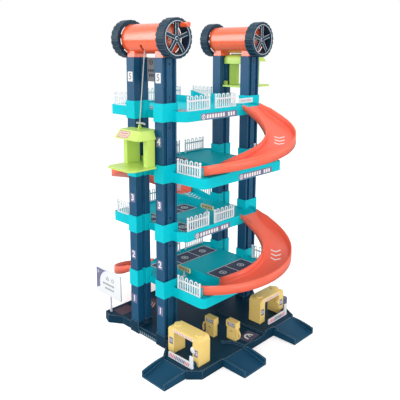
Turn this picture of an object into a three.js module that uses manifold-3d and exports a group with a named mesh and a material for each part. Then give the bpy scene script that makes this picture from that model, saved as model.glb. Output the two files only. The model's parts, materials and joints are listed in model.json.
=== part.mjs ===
// Toy parking garage: four decks on four stacked columns, two hand-wound lifts,
// curved ramps from deck to deck, and a base plate with exit ramps and toll arches.
// Millimetres, +Z up. The origin is on the floor, midway between the four columns.
// -Y is the front, and the two lift towers stand at -X and +X.

import * as THREE from 'three';
import { mergeVertices } from 'three/addons/utils/BufferGeometryUtils.js';
import Module from 'manifold-3d';

const wasm = await Module();
wasm.setup();

// Driving dimensions of the whole garage
const towerSpacing = 200;      // between the centre lines of the two towers, along X
const columnSpacing = 65;      // between the two columns of a tower, along Y
const storey = 94;             // from one deck to the next
const deckCount = 4;
const firstDeckTop = 100.5;    // rim of the lowest deck above the floor
const clearance = 0.3;         // gap between pieces that touch
const runningGap = 1;          // gap beside pieces that slide past each other
const overrun = 1;             // how far a cut runs past the face that it opens
const overlap = 0.5;           // how far joined shapes reach into each other
const weldDistance = 1e-4;     // corners nearer than this are one corner

// Column section: a channel with a screw rib outside and a guide groove inside
const column = {
  alongX: 29,
  alongY: 17.6,
  ribWidth: 10,
  flange: 3,
  ribGrooveDepth: 4.5,
  guideWidth: 8.6,
  guideDepth: 4,
  wall: 1.3,
  aboveDeck: 79,
};

// Sleeves on the decks and feet on the base hold the ends of the columns
const sleeve = { wall: 1.1, below: 16, above: 12, joint: 2 };
const foot = { wall: 1.1, height: 20.5, floor: 4 };

// Deck moulding: alternate decks are turned by half a turn
const deck = {
  insideTower: 3,
  front: 66.5,
  back: 110,
  chamferX: 10,
  chamferY: 13.5,
  cornerRadius: 9,
  skirt: 16,
  wall: 2,
  recess: 3,
  floor: 2.5,
  shaftDepth: 9,
};

// Curved ramp between decks, and the lane where the next deck receives it
const ramp = {
  fromEdge: 9.6,
  width: 46.8,
  fromBack: 15,
  wall: 2.2,
  floor: 2,
  wallHeight: 12.5,
  mouthWall: 4.5,
  wallRise: 24,
  fillet: 4,
  entryDrop: 0.5,
  landing: 2.5,
};
const rampSteepShare = 0.8;
const rampSteps = 26;
const lane = { length: 38, guideWall: 2.2, guideHeight: 9, guideLength: 73 };

// Drum housing, axle, tyre wheels and crank knob on top of each tower
const drum = { aboveColumn: 28, radius: 22.5, wall: 2.2, overhang: 1.5 };
const bracket = { insetX: 2, insetY: 0.3 };
const stringSlot = { width: 5, fromAngle: 22, toAngle: 66 };
const axle = { radius: 3, spool: 9.2, spoolLength: 28, flange: 13, flangeThickness: 2 };
const tyre = { radius: 29.4, width: 16, rim: 23.2, treads: 22, treadDepth: 0.9 };
const wheel = { hub: 6.5, spokeWidth: 5.6, spokeThickness: 3.5, spokeRecess: 2, spokes: 5 };
const treadShare = 0.62;
const knob = { orbit: 20.3, radius: 3.7, stem: 2.3, length: 14, pin: 1.4, boss: 4 };
const knobAngle = { a: 70, b: 142 };         // where each knob rests, from the tower's +X

// Lift cabin, measured from its own floor plate and from the tower's centre line
const cabin = {
  floor: 3,
  inner: 10,
  tip: 68,
  tipHalf: 25,
  halfWidth: 31,
  tipChamfer: 10,
  frontGap: 18.5,
  wall: 2,
  eave: 45,
  eaveReach: 53,
  eaveChamfer: 4,
  roofTop: 58.5,
  roofReach: 43,
  roofHalf: 26,
  roofChamfer: 2,
  roofWall: 2,
  pillarFrom: 8.5,
  pillarTo: 34,
  pillarHalf: 28,
  pillarTop: 52,
  headLow: 41,
  headTop: 57,
  headReach: 5,
  headRound: 9,
  runnerWidth: 4,
  runnerHeight: 10,
  lugReach: 24,
  lugWidth: 8,
  lugHeight: 7,
  lugThickness: 1.8,
  lugHole: 1.3,
};
const cabinRest = { a: { deckSteps: 2, above: 7 }, b: { deckSteps: 3, above: 24.5 } };
const stringRadius = 0.8;

// Base plate, wider than the decks and drawn in a little behind them
const base = {
  besideDeck: 16,
  insideBack: 4,
  leftWing: 36,
  frontChamfer: 16,
  neckFront: 46,
  leftFront: 75,
  rightStep: 4,
  rightLength: 22,
  ear: 15,
  earLength: 16,
  earSlope: 23,
  earInset: 6,
  rim: 14,
  floor: 12,
  shell: 3,
  wall: 2.2,
};
const platform = { left: 15, leftBack: 17, back: 34, side: 48, height: 15, rimTop: 17.5 };
const frontGate = [-15, 18];
const guide = { radius: 39, back: 3, sweep: 55, wall: 2.6, top: 15.5 };
const landingLane = 32;
const middlePad = 18;

// Exit ramps at the edge of the base
const exitRamp = {
  length: 42,
  wall: 2.6,
  thickness: 2.2,
  tip: 1.6,
  lowWall: 12,
  lowTip: 10,
  highWall: 15.5,
};
const exitSteps = 6;
const sideExit = { fromCorner: 0.5, width: 49, toChamfer: 2.5 };
const middleExit = { fromChamfer: 46, width: 51 };
const rightExit = { toCorner: 2, width: 54 };

// Toll arches with their barrier arms
const arch = {
  width: 66,
  depth: 24,
  height: 43,
  leg: 13,
  opening: 35,
  corner: 7,
  padRadius: 6.5,
  padHeight: 1.4,
  lamp: 4,
  lampDepth: 5,
  lampHeight: 21.5,
  insideLeft: 33,
  insideFront: 35,
  aside: 2,
};
const arm = {
  ahead: 10.5,
  aside: 29,
  lift: 1,
  pivot: 6,
  height: 9.5,
  tipHeight: 8.5,
  thickness: 2.4,
  reach: 48,
  tab: 3,
  tabHeight: 21,
  pin: 1.4,
  post: 5.5,
  postHalf: 4,
  frontShift: -6,
};
const armRoundTo = 320;        // angle where the arm's rounded foot ends

// Small pieces on the base
const pump = { width: 18, depth: 9, body: 21, head: 11, headGrow: 1, display: 1, nozzle: 3 };
const pumpPlaces = [[-10, 62], [5, 29]];     // from the right end of the middle exit
const sign = {
  post: 3,
  width: 70,
  height: 46,
  thickness: 2,
  low: 30.5,
  insideEar: 14,
  insideBack: 6,
  shift: 2,
};
const ticket = { width: 12, depth: 8, height: 13, low: 10, post: 3 };

// Picket fence panels that clip on to the deck rims
const fence = {
  length: 50,
  height: 26,
  pickets: 9,
  picketWidth: 2.6,
  thickness: 1.6,
  rail: 2.2,
  lowRail: 3,
  highRail: 15,
  point: 2.5,
  gap: 12,
  fromCorner: 2,
};

const degree = Math.PI / 180;
const deckBottom = -deck.skirt;
const deckHalfX = towerSpacing / 2 - deck.insideTower;
const shaftEdge = deckHalfX - deck.shaftDepth;
const shaftHalf = columnSpacing / 2 - column.alongY / 2 - clearance - sleeve.wall;
const rampOuter = deckHalfX - ramp.fromEdge;
const rampInner = rampOuter - ramp.width;
const rampRadius = (rampInner + rampOuter) / 2;
const rampCentre = deck.back - ramp.fromBack;
const columnTop = deckTop(deckCount - 1) + column.aboveDeck;
const drumAxis = columnTop + drum.aboveColumn;

// Edges of the base, and where its three exits leave it
const baseHalfX = deckHalfX + base.besideDeck;
const baseLeft = baseHalfX + base.leftWing;
const baseBack = deck.back - base.insideBack;
const sideMouth = [-base.leftFront - sideExit.fromCorner - sideExit.width,
  -base.leftFront - sideExit.fromCorner];
const baseFront = -sideMouth[0] + sideExit.toChamfer + base.frontChamfer;
const middleFrom = -baseLeft + base.frontChamfer + middleExit.fromChamfer;
const middleMouth = [middleFrom, middleFrom + middleExit.width];
const baseFrontRight = baseHalfX - base.frontChamfer;
const rightFrom = baseFrontRight - rightExit.toCorner - rightExit.width;

// Middles of the two toll arches
const sideArchAt = [-baseLeft + arch.insideLeft, (sideMouth[0] + sideMouth[1]) / 2 + arch.aside];
const frontArchAt = [rightFrom + rightExit.width / 2 - arch.aside, -baseFront + arch.insideFront];

const navy = { color: 0x16324f, roughness: 0.42, metalness: 0 };
const teal = { color: 0x00aeb8, roughness: 0.38, metalness: 0 };
const coral = { color: 0xff6a52, roughness: 0.36, metalness: 0 };
const orange = { color: 0xff7040, roughness: 0.34, metalness: 0 };
const tyreNavy = { color: 0x1b3c52, roughness: 0.55, metalness: 0 };
const lime = { color: 0xc4e465, roughness: 0.4, metalness: 0 };
const cream = { color: 0xf3cf78, roughness: 0.42, metalness: 0 };
const white = { color: 0xf4f4f2, roughness: 0.5, metalness: 0 };
const slate = { color: 0x3a4a62, roughness: 0.5, metalness: 0 };

// Height of a deck's rim above the floor, counted up from the lowest deck
function deckTop(level) {
  return firstDeckTop + level * storey;
}

// Closed solids from three.js geometry, joined and cut as manifolds

function toSolid(geometry) {
  const plain = geometry.index ? geometry.toNonIndexed() : geometry.clone();
  for (const name of ['normal', 'uv']) {
    if (plain.attributes[name]) plain.deleteAttribute(name);
  }
  const merged = mergeVertices(plain, weldDistance);
  return new wasm.Manifold(new wasm.Mesh({
    numProp: 3,
    vertProperties: new Float32Array(merged.attributes.position.array),
    triVerts: new Uint32Array(merged.index.array),
  }));
}

function toGeometry(solid) {
  const mesh = solid.getMesh();
  const geometry = new THREE.BufferGeometry();
  const places = new THREE.BufferAttribute(new Float32Array(mesh.vertProperties), 3);
  geometry.setAttribute('position', places);
  geometry.setIndex(new THREE.BufferAttribute(new Uint32Array(mesh.triVerts), 1));
  const flat = geometry.toNonIndexed();
  flat.computeVertexNormals();
  return flat;
}

function joined(...solids) {
  return solids.reduce((whole, piece) => whole.add(piece));
}

function cutBy(solid, ...cutters) {
  return cutters.reduce((left, cutter) => left.subtract(cutter), solid);
}

function outline(points, holes = []) {
  const shape = new THREE.Shape(points.map(([x, y]) => new THREE.Vector2(x, y)));
  for (const hole of holes) {
    shape.holes.push(new THREE.Path(hole.map(([x, y]) => new THREE.Vector2(x, y))));
  }
  return shape;
}

// An outline in the XY plane, raised from one height to another
function raised(points, low, high, holes = []) {
  const settings = { depth: high - low, bevelEnabled: false };
  const geometry = new THREE.ExtrudeGeometry(outline(points, holes), settings);
  return toSolid(geometry.translate(0, 0, low));
}

// An outline drawn in X and Z, thick along Y
function acrossY(points, low, high, holes = []) {
  const settings = { depth: high - low, bevelEnabled: false };
  const geometry = new THREE.ExtrudeGeometry(outline(points, holes), settings);
  return toSolid(geometry.rotateX(Math.PI / 2).translate(0, high, 0));
}

// An outline drawn in Y and Z, thick along X
function acrossX(points, low, high) {
  const settings = { depth: high - low, bevelEnabled: false };
  const geometry = new THREE.ExtrudeGeometry(outline(points), settings);
  geometry.rotateX(Math.PI / 2).rotateZ(Math.PI / 2);
  return toSolid(geometry.translate(low, 0, 0));
}

function block([x0, x1], [y0, y1], [z0, z1]) {
  const geometry = new THREE.BoxGeometry(x1 - x0, y1 - y0, z1 - z0);
  return toSolid(geometry.translate((x0 + x1) / 2, (y0 + y1) / 2, (z0 + z1) / 2));
}

function rodY(radius, [y0, y1], [x, z], segments, endRadius = radius) {
  const geometry = new THREE.CylinderGeometry(endRadius, radius, y1 - y0, segments);
  return toSolid(geometry.translate(x, (y0 + y1) / 2, z));
}

function mirrored(points, [sx, sy]) {
  const copy = points.map(([x, y]) => [x * sx, y * sy]);
  return sx * sy < 0 ? copy.reverse() : copy;
}

function arcPoints([cx, cy], radius, from, to, steps) {
  const points = [];
  for (let i = 0; i <= steps; i += 1) {
    const angle = (from + (to - from) * i / steps) * degree;
    points.push([cx + radius * Math.cos(angle), cy + radius * Math.sin(angle)]);
  }
  return points;
}

function rectangle([x0, x1], [y0, y1]) {
  return [[x0, y0], [x1, y0], [x1, y1], [x0, y1]];
}

// The same outline drawn in by a distance, for counter-clockwise points
function drawnIn(points, distance) {
  return points.map((here, i) => {
    const before = points[(i + points.length - 1) % points.length];
    const after = points[(i + 1) % points.length];
    const a = leftNormal(before, here);
    const b = leftNormal(here, after);
    const scale = distance / (1 + a[0] * b[0] + a[1] * b[1]);
    return [here[0] + (a[0] + b[0]) * scale, here[1] + (a[1] + b[1]) * scale];
  });
}

function leftNormal(from, to) {
  const length = Math.hypot(to[0] - from[0], to[1] - from[1]);
  return [(from[1] - to[1]) / length, (to[0] - from[0]) / length];
}

function loft(lowPoints, low, highPoints, high) {
  const count = lowPoints.length;
  const ringAt = (points, z) => points.map(([x, y]) => [x, y, z]);
  const rings = [ringAt(lowPoints, low), ringAt(highPoints, high)];
  return ringSolid(rings, count, lowPoints, highPoints);
}

// A closed solid through rings of points, with flat ends
function ringSolid(rings, count, firstCap, lastCap) {
  const positions = rings.flat(2);
  const index = [];
  for (let r = 0; r + 1 < rings.length; r += 1) {
    for (let i = 0; i < count; i += 1) {
      const j = (i + 1) % count;
      const a = r * count + i;
      const b = r * count + j;
      index.push(a, b, b + count, a, b + count, a + count);
    }
  }
  const last = (rings.length - 1) * count;
  const flat = (cap) => cap.map(([x, y]) => new THREE.Vector2(x, y));
  for (const [a, b, c] of THREE.ShapeUtils.triangulateShape(flat(firstCap), [])) {
    index.push(a, c, b);
  }
  for (const [a, b, c] of THREE.ShapeUtils.triangulateShape(flat(lastCap), [])) {
    index.push(last + a, last + b, last + c);
  }
  const geometry = new THREE.BufferGeometry();
  geometry.setAttribute('position', new THREE.Float32BufferAttribute(positions, 3));
  geometry.setIndex(index);
  return toSolid(geometry);
}

// Columns, with the guide groove on the +Y side

const columnHalfX = column.alongX / 2;
const columnHalfY = column.alongY / 2;
const guideHalf = column.guideWidth / 2;

function columnSection() {
  const groove = columnHalfX - column.flange;
  const rib = column.ribWidth / 2;
  const ribFloor = -columnHalfY + column.ribGrooveDepth;
  const guideFloor = columnHalfY - column.guideDepth;
  const outside = [
    [-columnHalfX, -columnHalfY], [-groove, -columnHalfY], [-groove, ribFloor],
    [-rib, ribFloor], [-rib, -columnHalfY],
  ];
  const inside = [
    [columnHalfX, columnHalfY], [guideHalf, columnHalfY], [guideHalf, guideFloor],
    [-guideHalf, guideFloor], [-guideHalf, columnHalfY], [-columnHalfX, columnHalfY],
  ];
  return [...outside, ...mirrored(outside, [-1, 1]), ...inside];
}

function columnSegment(low, high) {
  const section = columnSection();
  return raised(section, low, high, [drawnIn(section, column.wall)]);
}

// The hole that takes a column, with a key that follows the guide groove
function columnSocket(low, high) {
  const halfX = columnHalfX + clearance;
  const halfY = columnHalfY + clearance;
  const keyHalf = guideHalf - clearance;
  const keyFloor = columnHalfY - column.guideDepth + clearance;
  const hole = [
    [-halfX, -halfY], [halfX, -halfY], [halfX, halfY], [keyHalf, halfY], [keyHalf, keyFloor],
    [-keyHalf, keyFloor], [-keyHalf, halfY], [-halfX, halfY],
  ];
  return raised(hole, low, high);
}

function runnerSlot(wall, low, high) {
  const half = guideHalf - clearance - wall;
  const floor = columnHalfY - column.guideDepth + clearance + wall;
  const face = columnHalfY + clearance + wall + overrun;
  return raised(rectangle([-half, half], [floor, face]), low, high);
}

function sleeveBlock(wall, low, high) {
  const halfX = columnHalfX + clearance + wall;
  const halfY = columnHalfY + clearance + wall;
  return raised(rectangle([-halfX, halfX], [-halfY, halfY]), low, high);
}

// One copy of a solid at each of the four columns, groove sides facing each other
function atColumns(solid) {
  const copies = [];
  for (const x of [-towerSpacing / 2, towerSpacing / 2]) {
    copies.push(solid.translate([x, -columnSpacing / 2, 0]));
    copies.push(solid.rotate([0, 0, 180]).translate([x, columnSpacing / 2, 0]));
  }
  return joined(...copies);
}

// Deck

function deckOutline() {
  const { front, back, chamferX, chamferY, cornerRadius: r } = deck;
  const halfX = deckHalfX;
  const notch = shaftHalf + overlap;
  const rightHalf = [
    [halfX - chamferX, -front], [halfX, -front + chamferY], [halfX, -notch],
    [shaftEdge, -notch], [shaftEdge, notch], [halfX, notch],
    ...arcPoints([halfX - r, back - r], r, 0, 90, 4),
  ];
  return [...rightHalf, ...mirrored(rightHalf, [-1, 1])];
}

function deckOpenings() {
  const above = [-deck.recess, overrun];
  const rimFar = deck.wall + overlap;
  const mouth = block([rampInner, rampOuter], [-deck.front - overrun, -deck.front + rimFar], above);
  const shafts = [-1, 1].map((side) => {
    const ends = [side * (shaftEdge - rimFar), side * (shaftEdge + overrun)];
    return block(ends.sort((a, b) => a - b), [-shaftHalf, shaftHalf], above);
  });
  return [mouth, ...shafts];
}

// The lane that takes in the ramp from the deck above: a pad, a slope and a guide wall
function deckLane() {
  const padTop = rampFloorAt(1) - ramp.floor - clearance + storey;
  const slopeTop = rampFloorAt(1) + storey;
  const floor = -deck.recess;
  const start = rampCentre - clearance;
  const padReach = deck.back - deck.wall - overlap;
  const pad = block([rampInner, rampOuter], [start - overlap, padReach], [floor - overlap, padTop]);
  const slope = acrossX([
    [start, floor - overlap], [start, slopeTop], [start - lane.length, floor],
    [start - lane.length, floor - overlap],
  ], rampInner, rampOuter);
  const guideSpan = [start - lane.guideLength, start];
  const wall = block([rampInner - lane.guideWall, rampInner], guideSpan,
    [floor - overlap, lane.guideHeight]);
  return joined(pad, slope, wall);
}

function deckSolid() {
  const shape = deckOutline();
  const inside = drawnIn(shape, deck.wall);
  const underside = -deck.recess - deck.floor;
  const tray = cutBy(
    raised(shape, deckBottom, 0),
    raised(inside, -deck.recess, overrun),
    raised(inside, deckBottom - overrun, underside),
    ...deckOpenings(),
  );
  const sleeves = atColumns(sleeveBlock(sleeve.wall, -sleeve.below, sleeve.above));
  const ends = [-sleeve.below - overrun, sleeve.above + overrun];
  return cutBy(
    joined(tray, deckLane(), sleeves),
    atColumns(columnSocket(...ends)),
    atColumns(runnerSlot(sleeve.wall, ...ends)),
  );
}

// Curved ramp: a channel that leaves the front of its deck and turns back under it

function rampFloorAt(share) {
  const top = -deck.recess - ramp.entryDrop;
  const bottom = -storey + ramp.landing;
  const eased = share * (1 + rampSteepShare * (1 - share) ** 2);
  return top + (bottom - top) * eased;
}

function rampStations() {
  const straight = rampCentre - deck.front - clearance;
  const length = straight + Math.PI * rampRadius;
  const stations = [];
  for (let i = 0; i <= rampSteps; i += 1) {
    const along = length * i / rampSteps;
    const turned = Math.max(0, along - straight) / rampRadius;
    const y = -deck.front - clearance - Math.min(along, straight);
    const height = Math.min(1, along / ramp.wallRise);
    stations.push({
      share: i / rampSteps,
      centre: [0, y],
      out: [Math.cos(turned), -Math.sin(turned)],
      wall: ramp.mouthWall + (ramp.wallHeight - ramp.mouthWall) * height,
    });
  }
  return stations;
}

// Points across the channel, as distances from the turning centre and heights
function rampSection(station) {
  const floor = rampFloorAt(station.share);
  const top = floor + station.wall;
  const under = floor - ramp.floor;
  const inL = rampInner + ramp.wall;
  const inR = rampOuter - ramp.wall;
  const f = Math.min(ramp.fillet, station.wall / 2);
  return [
    [rampInner, under], [rampOuter, under], [rampOuter, top], [inR, top],
    [inR, floor + f], [inR - f, floor], [inL + f, floor], [inL, floor + f], [inL, top],
    [rampInner, top],
  ];
}

function rampSolid() {
  const rings = rampStations().map((station) => rampSection(station).map(([r, z]) => [
    station.centre[0] + station.out[0] * r,
    station.centre[1] + station.out[1] * r,
    z,
  ]));
  const cap = rampSection(rampStations()[0]);
  const endCap = rampSection(rampStations()[rampSteps]);
  return ringSolid(rings, cap.length, cap, endCap);
}

// Tower top: drum housing, axle with its spool, tyre wheels and knob

const bracketLow = columnTop + clearance;
const drumHalf = columnSpacing / 2 + columnHalfY + drum.overhang;
const wheelInner = drumHalf + runningGap;
const wheelOuter = wheelInner + tyre.width;

function drumSolid() {
  const at = [0, drumAxis];
  const halfX = columnHalfX - bracket.insetX;
  const halfY = columnHalfY - bracket.insetY;
  const shell = rodY(drum.radius, [-drumHalf, drumHalf], at, 40);
  const brackets = [-1, 1].map((side) => {
    const centre = side * columnSpacing / 2;
    return block([-halfX, halfX], [centre - halfY, centre + halfY], [bracketLow, drumAxis]);
  });
  const hollow = drumHalf - drum.wall;
  return cutBy(
    joined(shell, ...brackets),
    rodY(drum.radius - drum.wall, [-hollow, hollow], at, 40),
    rodY(axle.radius + clearance, [-drumHalf - overrun, drumHalf + overrun], at, 16),
    slotSolid(),
  );
}

// The slot under the drum where the string comes out, on the lift's side
function slotSolid() {
  const far = drum.radius + overrun;
  const near = drum.radius - drum.wall - overrun;
  const arc = (radius) => arcPoints([0, drumAxis], radius, 270 - stringSlot.toAngle,
    270 - stringSlot.fromAngle, 4);
  const half = stringSlot.width / 2;
  return acrossY([...arc(far), ...arc(near).reverse()], -half, half);
}

function axleSolid() {
  const at = [0, drumAxis];
  const reach = wheelOuter - wheel.spokeRecess;
  const spoolHalf = axle.spoolLength / 2;
  const flanges = [-1, 1].map((side) => {
    const near = side * spoolHalf;
    const span = [near, near + side * axle.flangeThickness].sort((a, b) => a - b);
    return rodY(axle.flange, span, at, 20);
  });
  return joined(
    rodY(axle.radius, [-reach, reach], at, 16),
    rodY(axle.spool, [-spoolHalf, spoolHalf], at, 20),
    ...flanges,
  );
}

function treadOutline() {
  const points = [];
  const pitch = 360 / tyre.treads;
  for (let i = 0; i < tyre.treads; i += 1) {
    const start = i * pitch;
    for (const [share, radius] of [[0, tyre.radius], [treadShare, tyre.radius]]) {
      const angle = (start + pitch * share) * degree;
      points.push([radius * Math.cos(angle), radius * Math.sin(angle)]);
    }
    const groove = tyre.radius - tyre.treadDepth;
    for (const share of [treadShare, 1]) {
      const angle = (start + pitch * share) * degree;
      points.push([groove * Math.cos(angle), groove * Math.sin(angle)]);
    }
  }
  return points;
}

function wheelSolid(knobCentre = null) {
  const ring = arcPoints([0, 0], tyre.rim, 0, 360, 30).slice(0, -1);
  const band = acrossY(treadOutline(), -tyre.width / 2, tyre.width / 2, [ring]);
  const face = -tyre.width / 2 + wheel.spokeRecess;
  const depth = [face, face + wheel.spokeThickness];
  const half = wheel.spokeWidth / 2;
  const reach = tyre.rim + overlap;
  const spokes = [];
  for (let i = 0; i < wheel.spokes; i += 1) {
    const spoke = block([0, reach], depth, [-half, half]);
    spokes.push(spoke.rotate([0, -90 - i * 360 / wheel.spokes, 0]));
  }
  const whole = joined(band, rodY(wheel.hub, depth, [0, 0], 16), ...spokes);
  const bore = rodY(axle.radius + clearance, [face - overrun, depth[1] + overrun], [0, 0], 16);
  if (!knobCentre) return cutBy(whole, bore);
  const boss = rodY(knob.boss, depth, knobCentre, 12);
  const hole = rodY(knob.pin + clearance, [face - overrun, depth[1] + overrun], knobCentre, 10);
  return cutBy(joined(whole, boss), bore, hole);
}

function knobAt(name) {
  const angle = knobAngle[name] * degree;
  return [knob.orbit * Math.cos(angle), knob.orbit * Math.sin(angle)];
}

function knobSolid(name) {
  const seat = -wheelOuter + wheel.spokeRecess - clearance;
  const near = -wheelOuter - runningGap;
  const [x, z] = knobAt(name);
  const at = [x, drumAxis + z];
  return joined(
    rodY(knob.radius, [near - knob.length, near], at, 16),
    rodY(knob.stem, [near - overlap, seat], at, 12),
    rodY(knob.pin, [seat - overlap, seat + wheel.spokeThickness], at, 10),
  );
}

// Lift cabin: a floor plate that reaches out of the shaft, side walls, runners and a roof

const cabinInnerHalf = shaftHalf - runningGap;

function cabinFloorOutline() {
  const { inner, frontGap, halfWidth, tip, tipHalf, tipChamfer } = cabin;
  const half = [
    [inner, cabinInnerHalf], [-frontGap, cabinInnerHalf], [-frontGap, halfWidth],
    [-tip + tipChamfer, halfWidth], [-tip, tipHalf],
  ];
  return [...half, ...mirrored(half, [1, -1])];
}

function roofLoft(inset, low, high) {
  const { eaveReach, eaveChamfer, halfWidth, roofReach, roofHalf, roofChamfer, frontGap } = cabin;
  const back = -frontGap + (inset > 0 ? overrun : 0);
  const ring = (reach, half, chamfer) => {
    const side = [[back, half], [-reach + chamfer, half], [-reach, half - chamfer]];
    return [...side, ...mirrored(side, [1, -1])];
  };
  return loft(
    ring(eaveReach - inset, halfWidth - inset, eaveChamfer), low,
    ring(roofReach - inset, roofHalf - inset, roofChamfer), high,
  );
}

function lugSolid() {
  const { lugReach, lugWidth, lugHeight, lugThickness, lugHole, roofTop } = cabin;
  const half = lugWidth / 2;
  const foot0 = roofTop - overlap;
  const shape = [
    [-lugReach - half, foot0], [-lugReach + half, foot0],
    [-lugReach + lugHole, roofTop + lugHeight], [-lugReach - lugHole, roofTop + lugHeight],
  ];
  const eye = arcPoints([-lugReach, roofTop + lugHeight / 2], lugHole, 0, 360, 8).slice(0, -1);
  return acrossY(shape, -lugThickness / 2, lugThickness / 2, [eye]);
}

// One side of the cabin: a pillar with its foot in the shaft, and two runners
function cabinSide(side) {
  const across = (near, far) => [side * near, side * far].sort((a, b) => a - b);
  const { frontGap, pillarFrom, pillarTo, pillarHalf, pillarTop, wall, floor, headLow } = cabin;
  const { runnerWidth, runnerHeight } = cabin;
  const high = [floor - overlap, pillarTop];
  const runnerTip = columnSpacing / 2 - columnHalfY + column.guideDepth
    - clearance - sleeve.wall - runningGap;
  const runner = (low, top) => {
    const reach = across(cabinInnerHalf - wall, runnerTip);
    return block([-runnerWidth / 2, runnerWidth / 2], reach, [low, top]);
  };
  return joined(
    block([-pillarTo, -pillarFrom], across(cabinInnerHalf - wall, cabinInnerHalf), high),
    block([-pillarTo, -frontGap], across(cabinInnerHalf - wall, pillarHalf), high),
    runner(0, runnerHeight),
    runner(headLow, headLow + runnerHeight),
  );
}

// The part of the roof inside the shaft: a cap, open below, with a rounded inner edge
function headSolid() {
  const { frontGap, headLow, headTop, headReach, headRound, roofWall, pillarFrom } = cabin;
  const profile = (inset, low) => {
    const centre = [headReach - headRound, headTop - headRound];
    const round = arcPoints(centre, headRound - inset, 0, 90, 5);
    const back = -frontGap - overlap;
    return [[back, low], [headReach - inset, low], ...round, [back, headTop - inset]];
  };
  const half = cabinInnerHalf;
  const cap = acrossY(profile(0, headLow), -half, half);
  const hollow = acrossY(profile(roofWall, headLow - overrun), -half + roofWall, half - roofWall);
  const doorway = block([-frontGap - overrun, -pillarFrom], [-half + roofWall, half - roofWall],
    [headLow - overrun, headTop - roofWall]);
  return cutBy(cap, hollow, doorway);
}

function cabinSolid() {
  const { floor, eave, roofTop, roofWall } = cabin;
  const hollow = roofLoft(roofWall, eave - overrun, roofTop - roofWall);
  const hip = cutBy(roofLoft(0, eave, roofTop), hollow);
  return joined(
    raised(cabinFloorOutline(), 0, floor),
    cabinSide(-1),
    cabinSide(1),
    hip,
    headSolid(),
    lugSolid(),
  );
}

// String from the cabin's lug to the spool, with level ends so that it can stretch upright
function stringSolid(cabinBottom) {
  const low = cabinBottom + cabin.roofTop + cabin.lugHeight + clearance;
  const spoolSide = -axle.spool - clearance - stringRadius;
  const round = (x) => arcPoints([x, 0], stringRadius, 0, 360, 8).slice(0, -1);
  return loft(round(-cabin.lugReach), low, round(spoolSide), drumAxis);
}

// Base plate with its feet, rim, raised platform, guide wall and landing

function baseOutline() {
  const b = base;
  const earX = baseHalfX + b.ear;
  const ear = [[earX, baseBack - b.earLength], [earX - b.earInset, baseBack]];
  const neckBack = baseBack - b.earLength - b.earSlope;
  return [
    [-baseLeft + b.frontChamfer, -baseFront], ...baseRightCorner(),
    [baseHalfX, neckBack], ...ear,
    ...mirrored(ear, [-1, 1]),
    [-baseHalfX, neckBack], [-baseHalfX, -b.neckFront], [-baseLeft, -b.leftFront],
    [-baseLeft, -baseFront + b.frontChamfer],
  ];
}

// The front right corner is cut twice
function baseRightCorner() {
  const stepY = -baseFront + base.rightLength;
  return [
    [baseFrontRight, -baseFront], [baseHalfX - base.rightStep, stepY],
    [baseHalfX, stepY + base.frontChamfer],
  ];
}

function platformOutline() {
  const { left, leftBack, back, side } = platform;
  const inner = towerSpacing / 2 - columnHalfX - clearance - foot.wall - overrun;
  return [
    [left, -baseFront], ...baseRightCorner(),
    [baseHalfX, -side], [inner, -side], [inner, -back], [leftBack, -back],
  ];
}

// A wall that runs in from the front edge beside the middle exit and bends to the left
function guideSolid() {
  const x = middleMouth[1];
  const edge = -baseFront;
  const centre = [x - guide.radius, edge + guide.back];
  const outer = arcPoints(centre, guide.radius, 0, guide.sweep, 6);
  const inner = arcPoints(centre, guide.radius - guide.wall, guide.sweep, 0, 6);
  const band = [[x, edge], ...outer, ...inner, [x - guide.wall, edge]];
  return raised(band, base.floor - overlap, guide.top);
}

// The taller rim around the front right of the raised platform
function platformRim() {
  const outer = baseOutline();
  const inner = drawnIn(outer, base.wall);
  const low = platform.height - overlap;
  const band = [
    outer[1], outer[2], outer[3], [baseHalfX, -platform.side],
    [baseHalfX - base.wall, -platform.side], inner[3], inner[2], inner[1],
  ];
  const gateEnd = [frontGate[1], rightFrom];
  const curb = block(gateEnd, [-baseFront, -baseFront + base.wall], [low, platform.rimTop]);
  return [raised(band, low, platform.rimTop), curb];
}

function baseCuts() {
  const b = base;
  const reach = b.wall + overlap;
  const above = [b.floor, b.rim + overrun];
  const edge = baseHalfX - reach;
  const frontRim = [-baseFront - overrun, -baseFront + reach];
  return [
    block([-baseLeft - overrun, -baseLeft + reach], sideMouth, above),
    block(middleMouth, frontRim, above),
    block(frontGate, frontRim, above),
    block([-baseHalfX - overrun, -edge], [-shaftHalf, shaftHalf], above),
    block([edge, baseHalfX + overrun], [-shaftHalf, shaftHalf], above),
  ];
}

// Where the lowest curved ramp comes down: a seat for its end and a slope up to the floor
function landingCuts() {
  const seat = deckTop(0) + rampFloorAt(1) - ramp.floor - clearance;
  const slopeLow = deckTop(0) + rampFloorAt(1);
  const start = rampCentre - clearance;
  const sides = [rampInner - clearance, rampOuter + clearance];
  const slope = acrossX([
    [start, slopeLow], [start, base.rim + overrun], [start - landingLane, base.rim + overrun],
    [start - landingLane, base.floor],
  ].reverse(), ...sides);
  const bend = [rampInner - lane.guideWall, rampOuter + clearance];
  return [block(bend, [start, baseBack + overrun], [seat, base.rim + overrun]), slope];
}

function baseHollow() {
  const inside = drawnIn(baseOutline(), base.wall);
  const hollow = raised(inside, -overrun, base.floor - base.shell);
  const rib = base.wall * 2;
  const tall = [-overrun * 2, base.floor];
  const underLanding = block(
    [rampInner - rib, rampOuter + rib],
    [rampCentre - landingLane - rib, baseBack],
    tall,
  );
  const middle = block([-middlePad, middlePad], [-middlePad, middlePad], tall);
  return cutBy(hollow, underLanding, middle);
}

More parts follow.
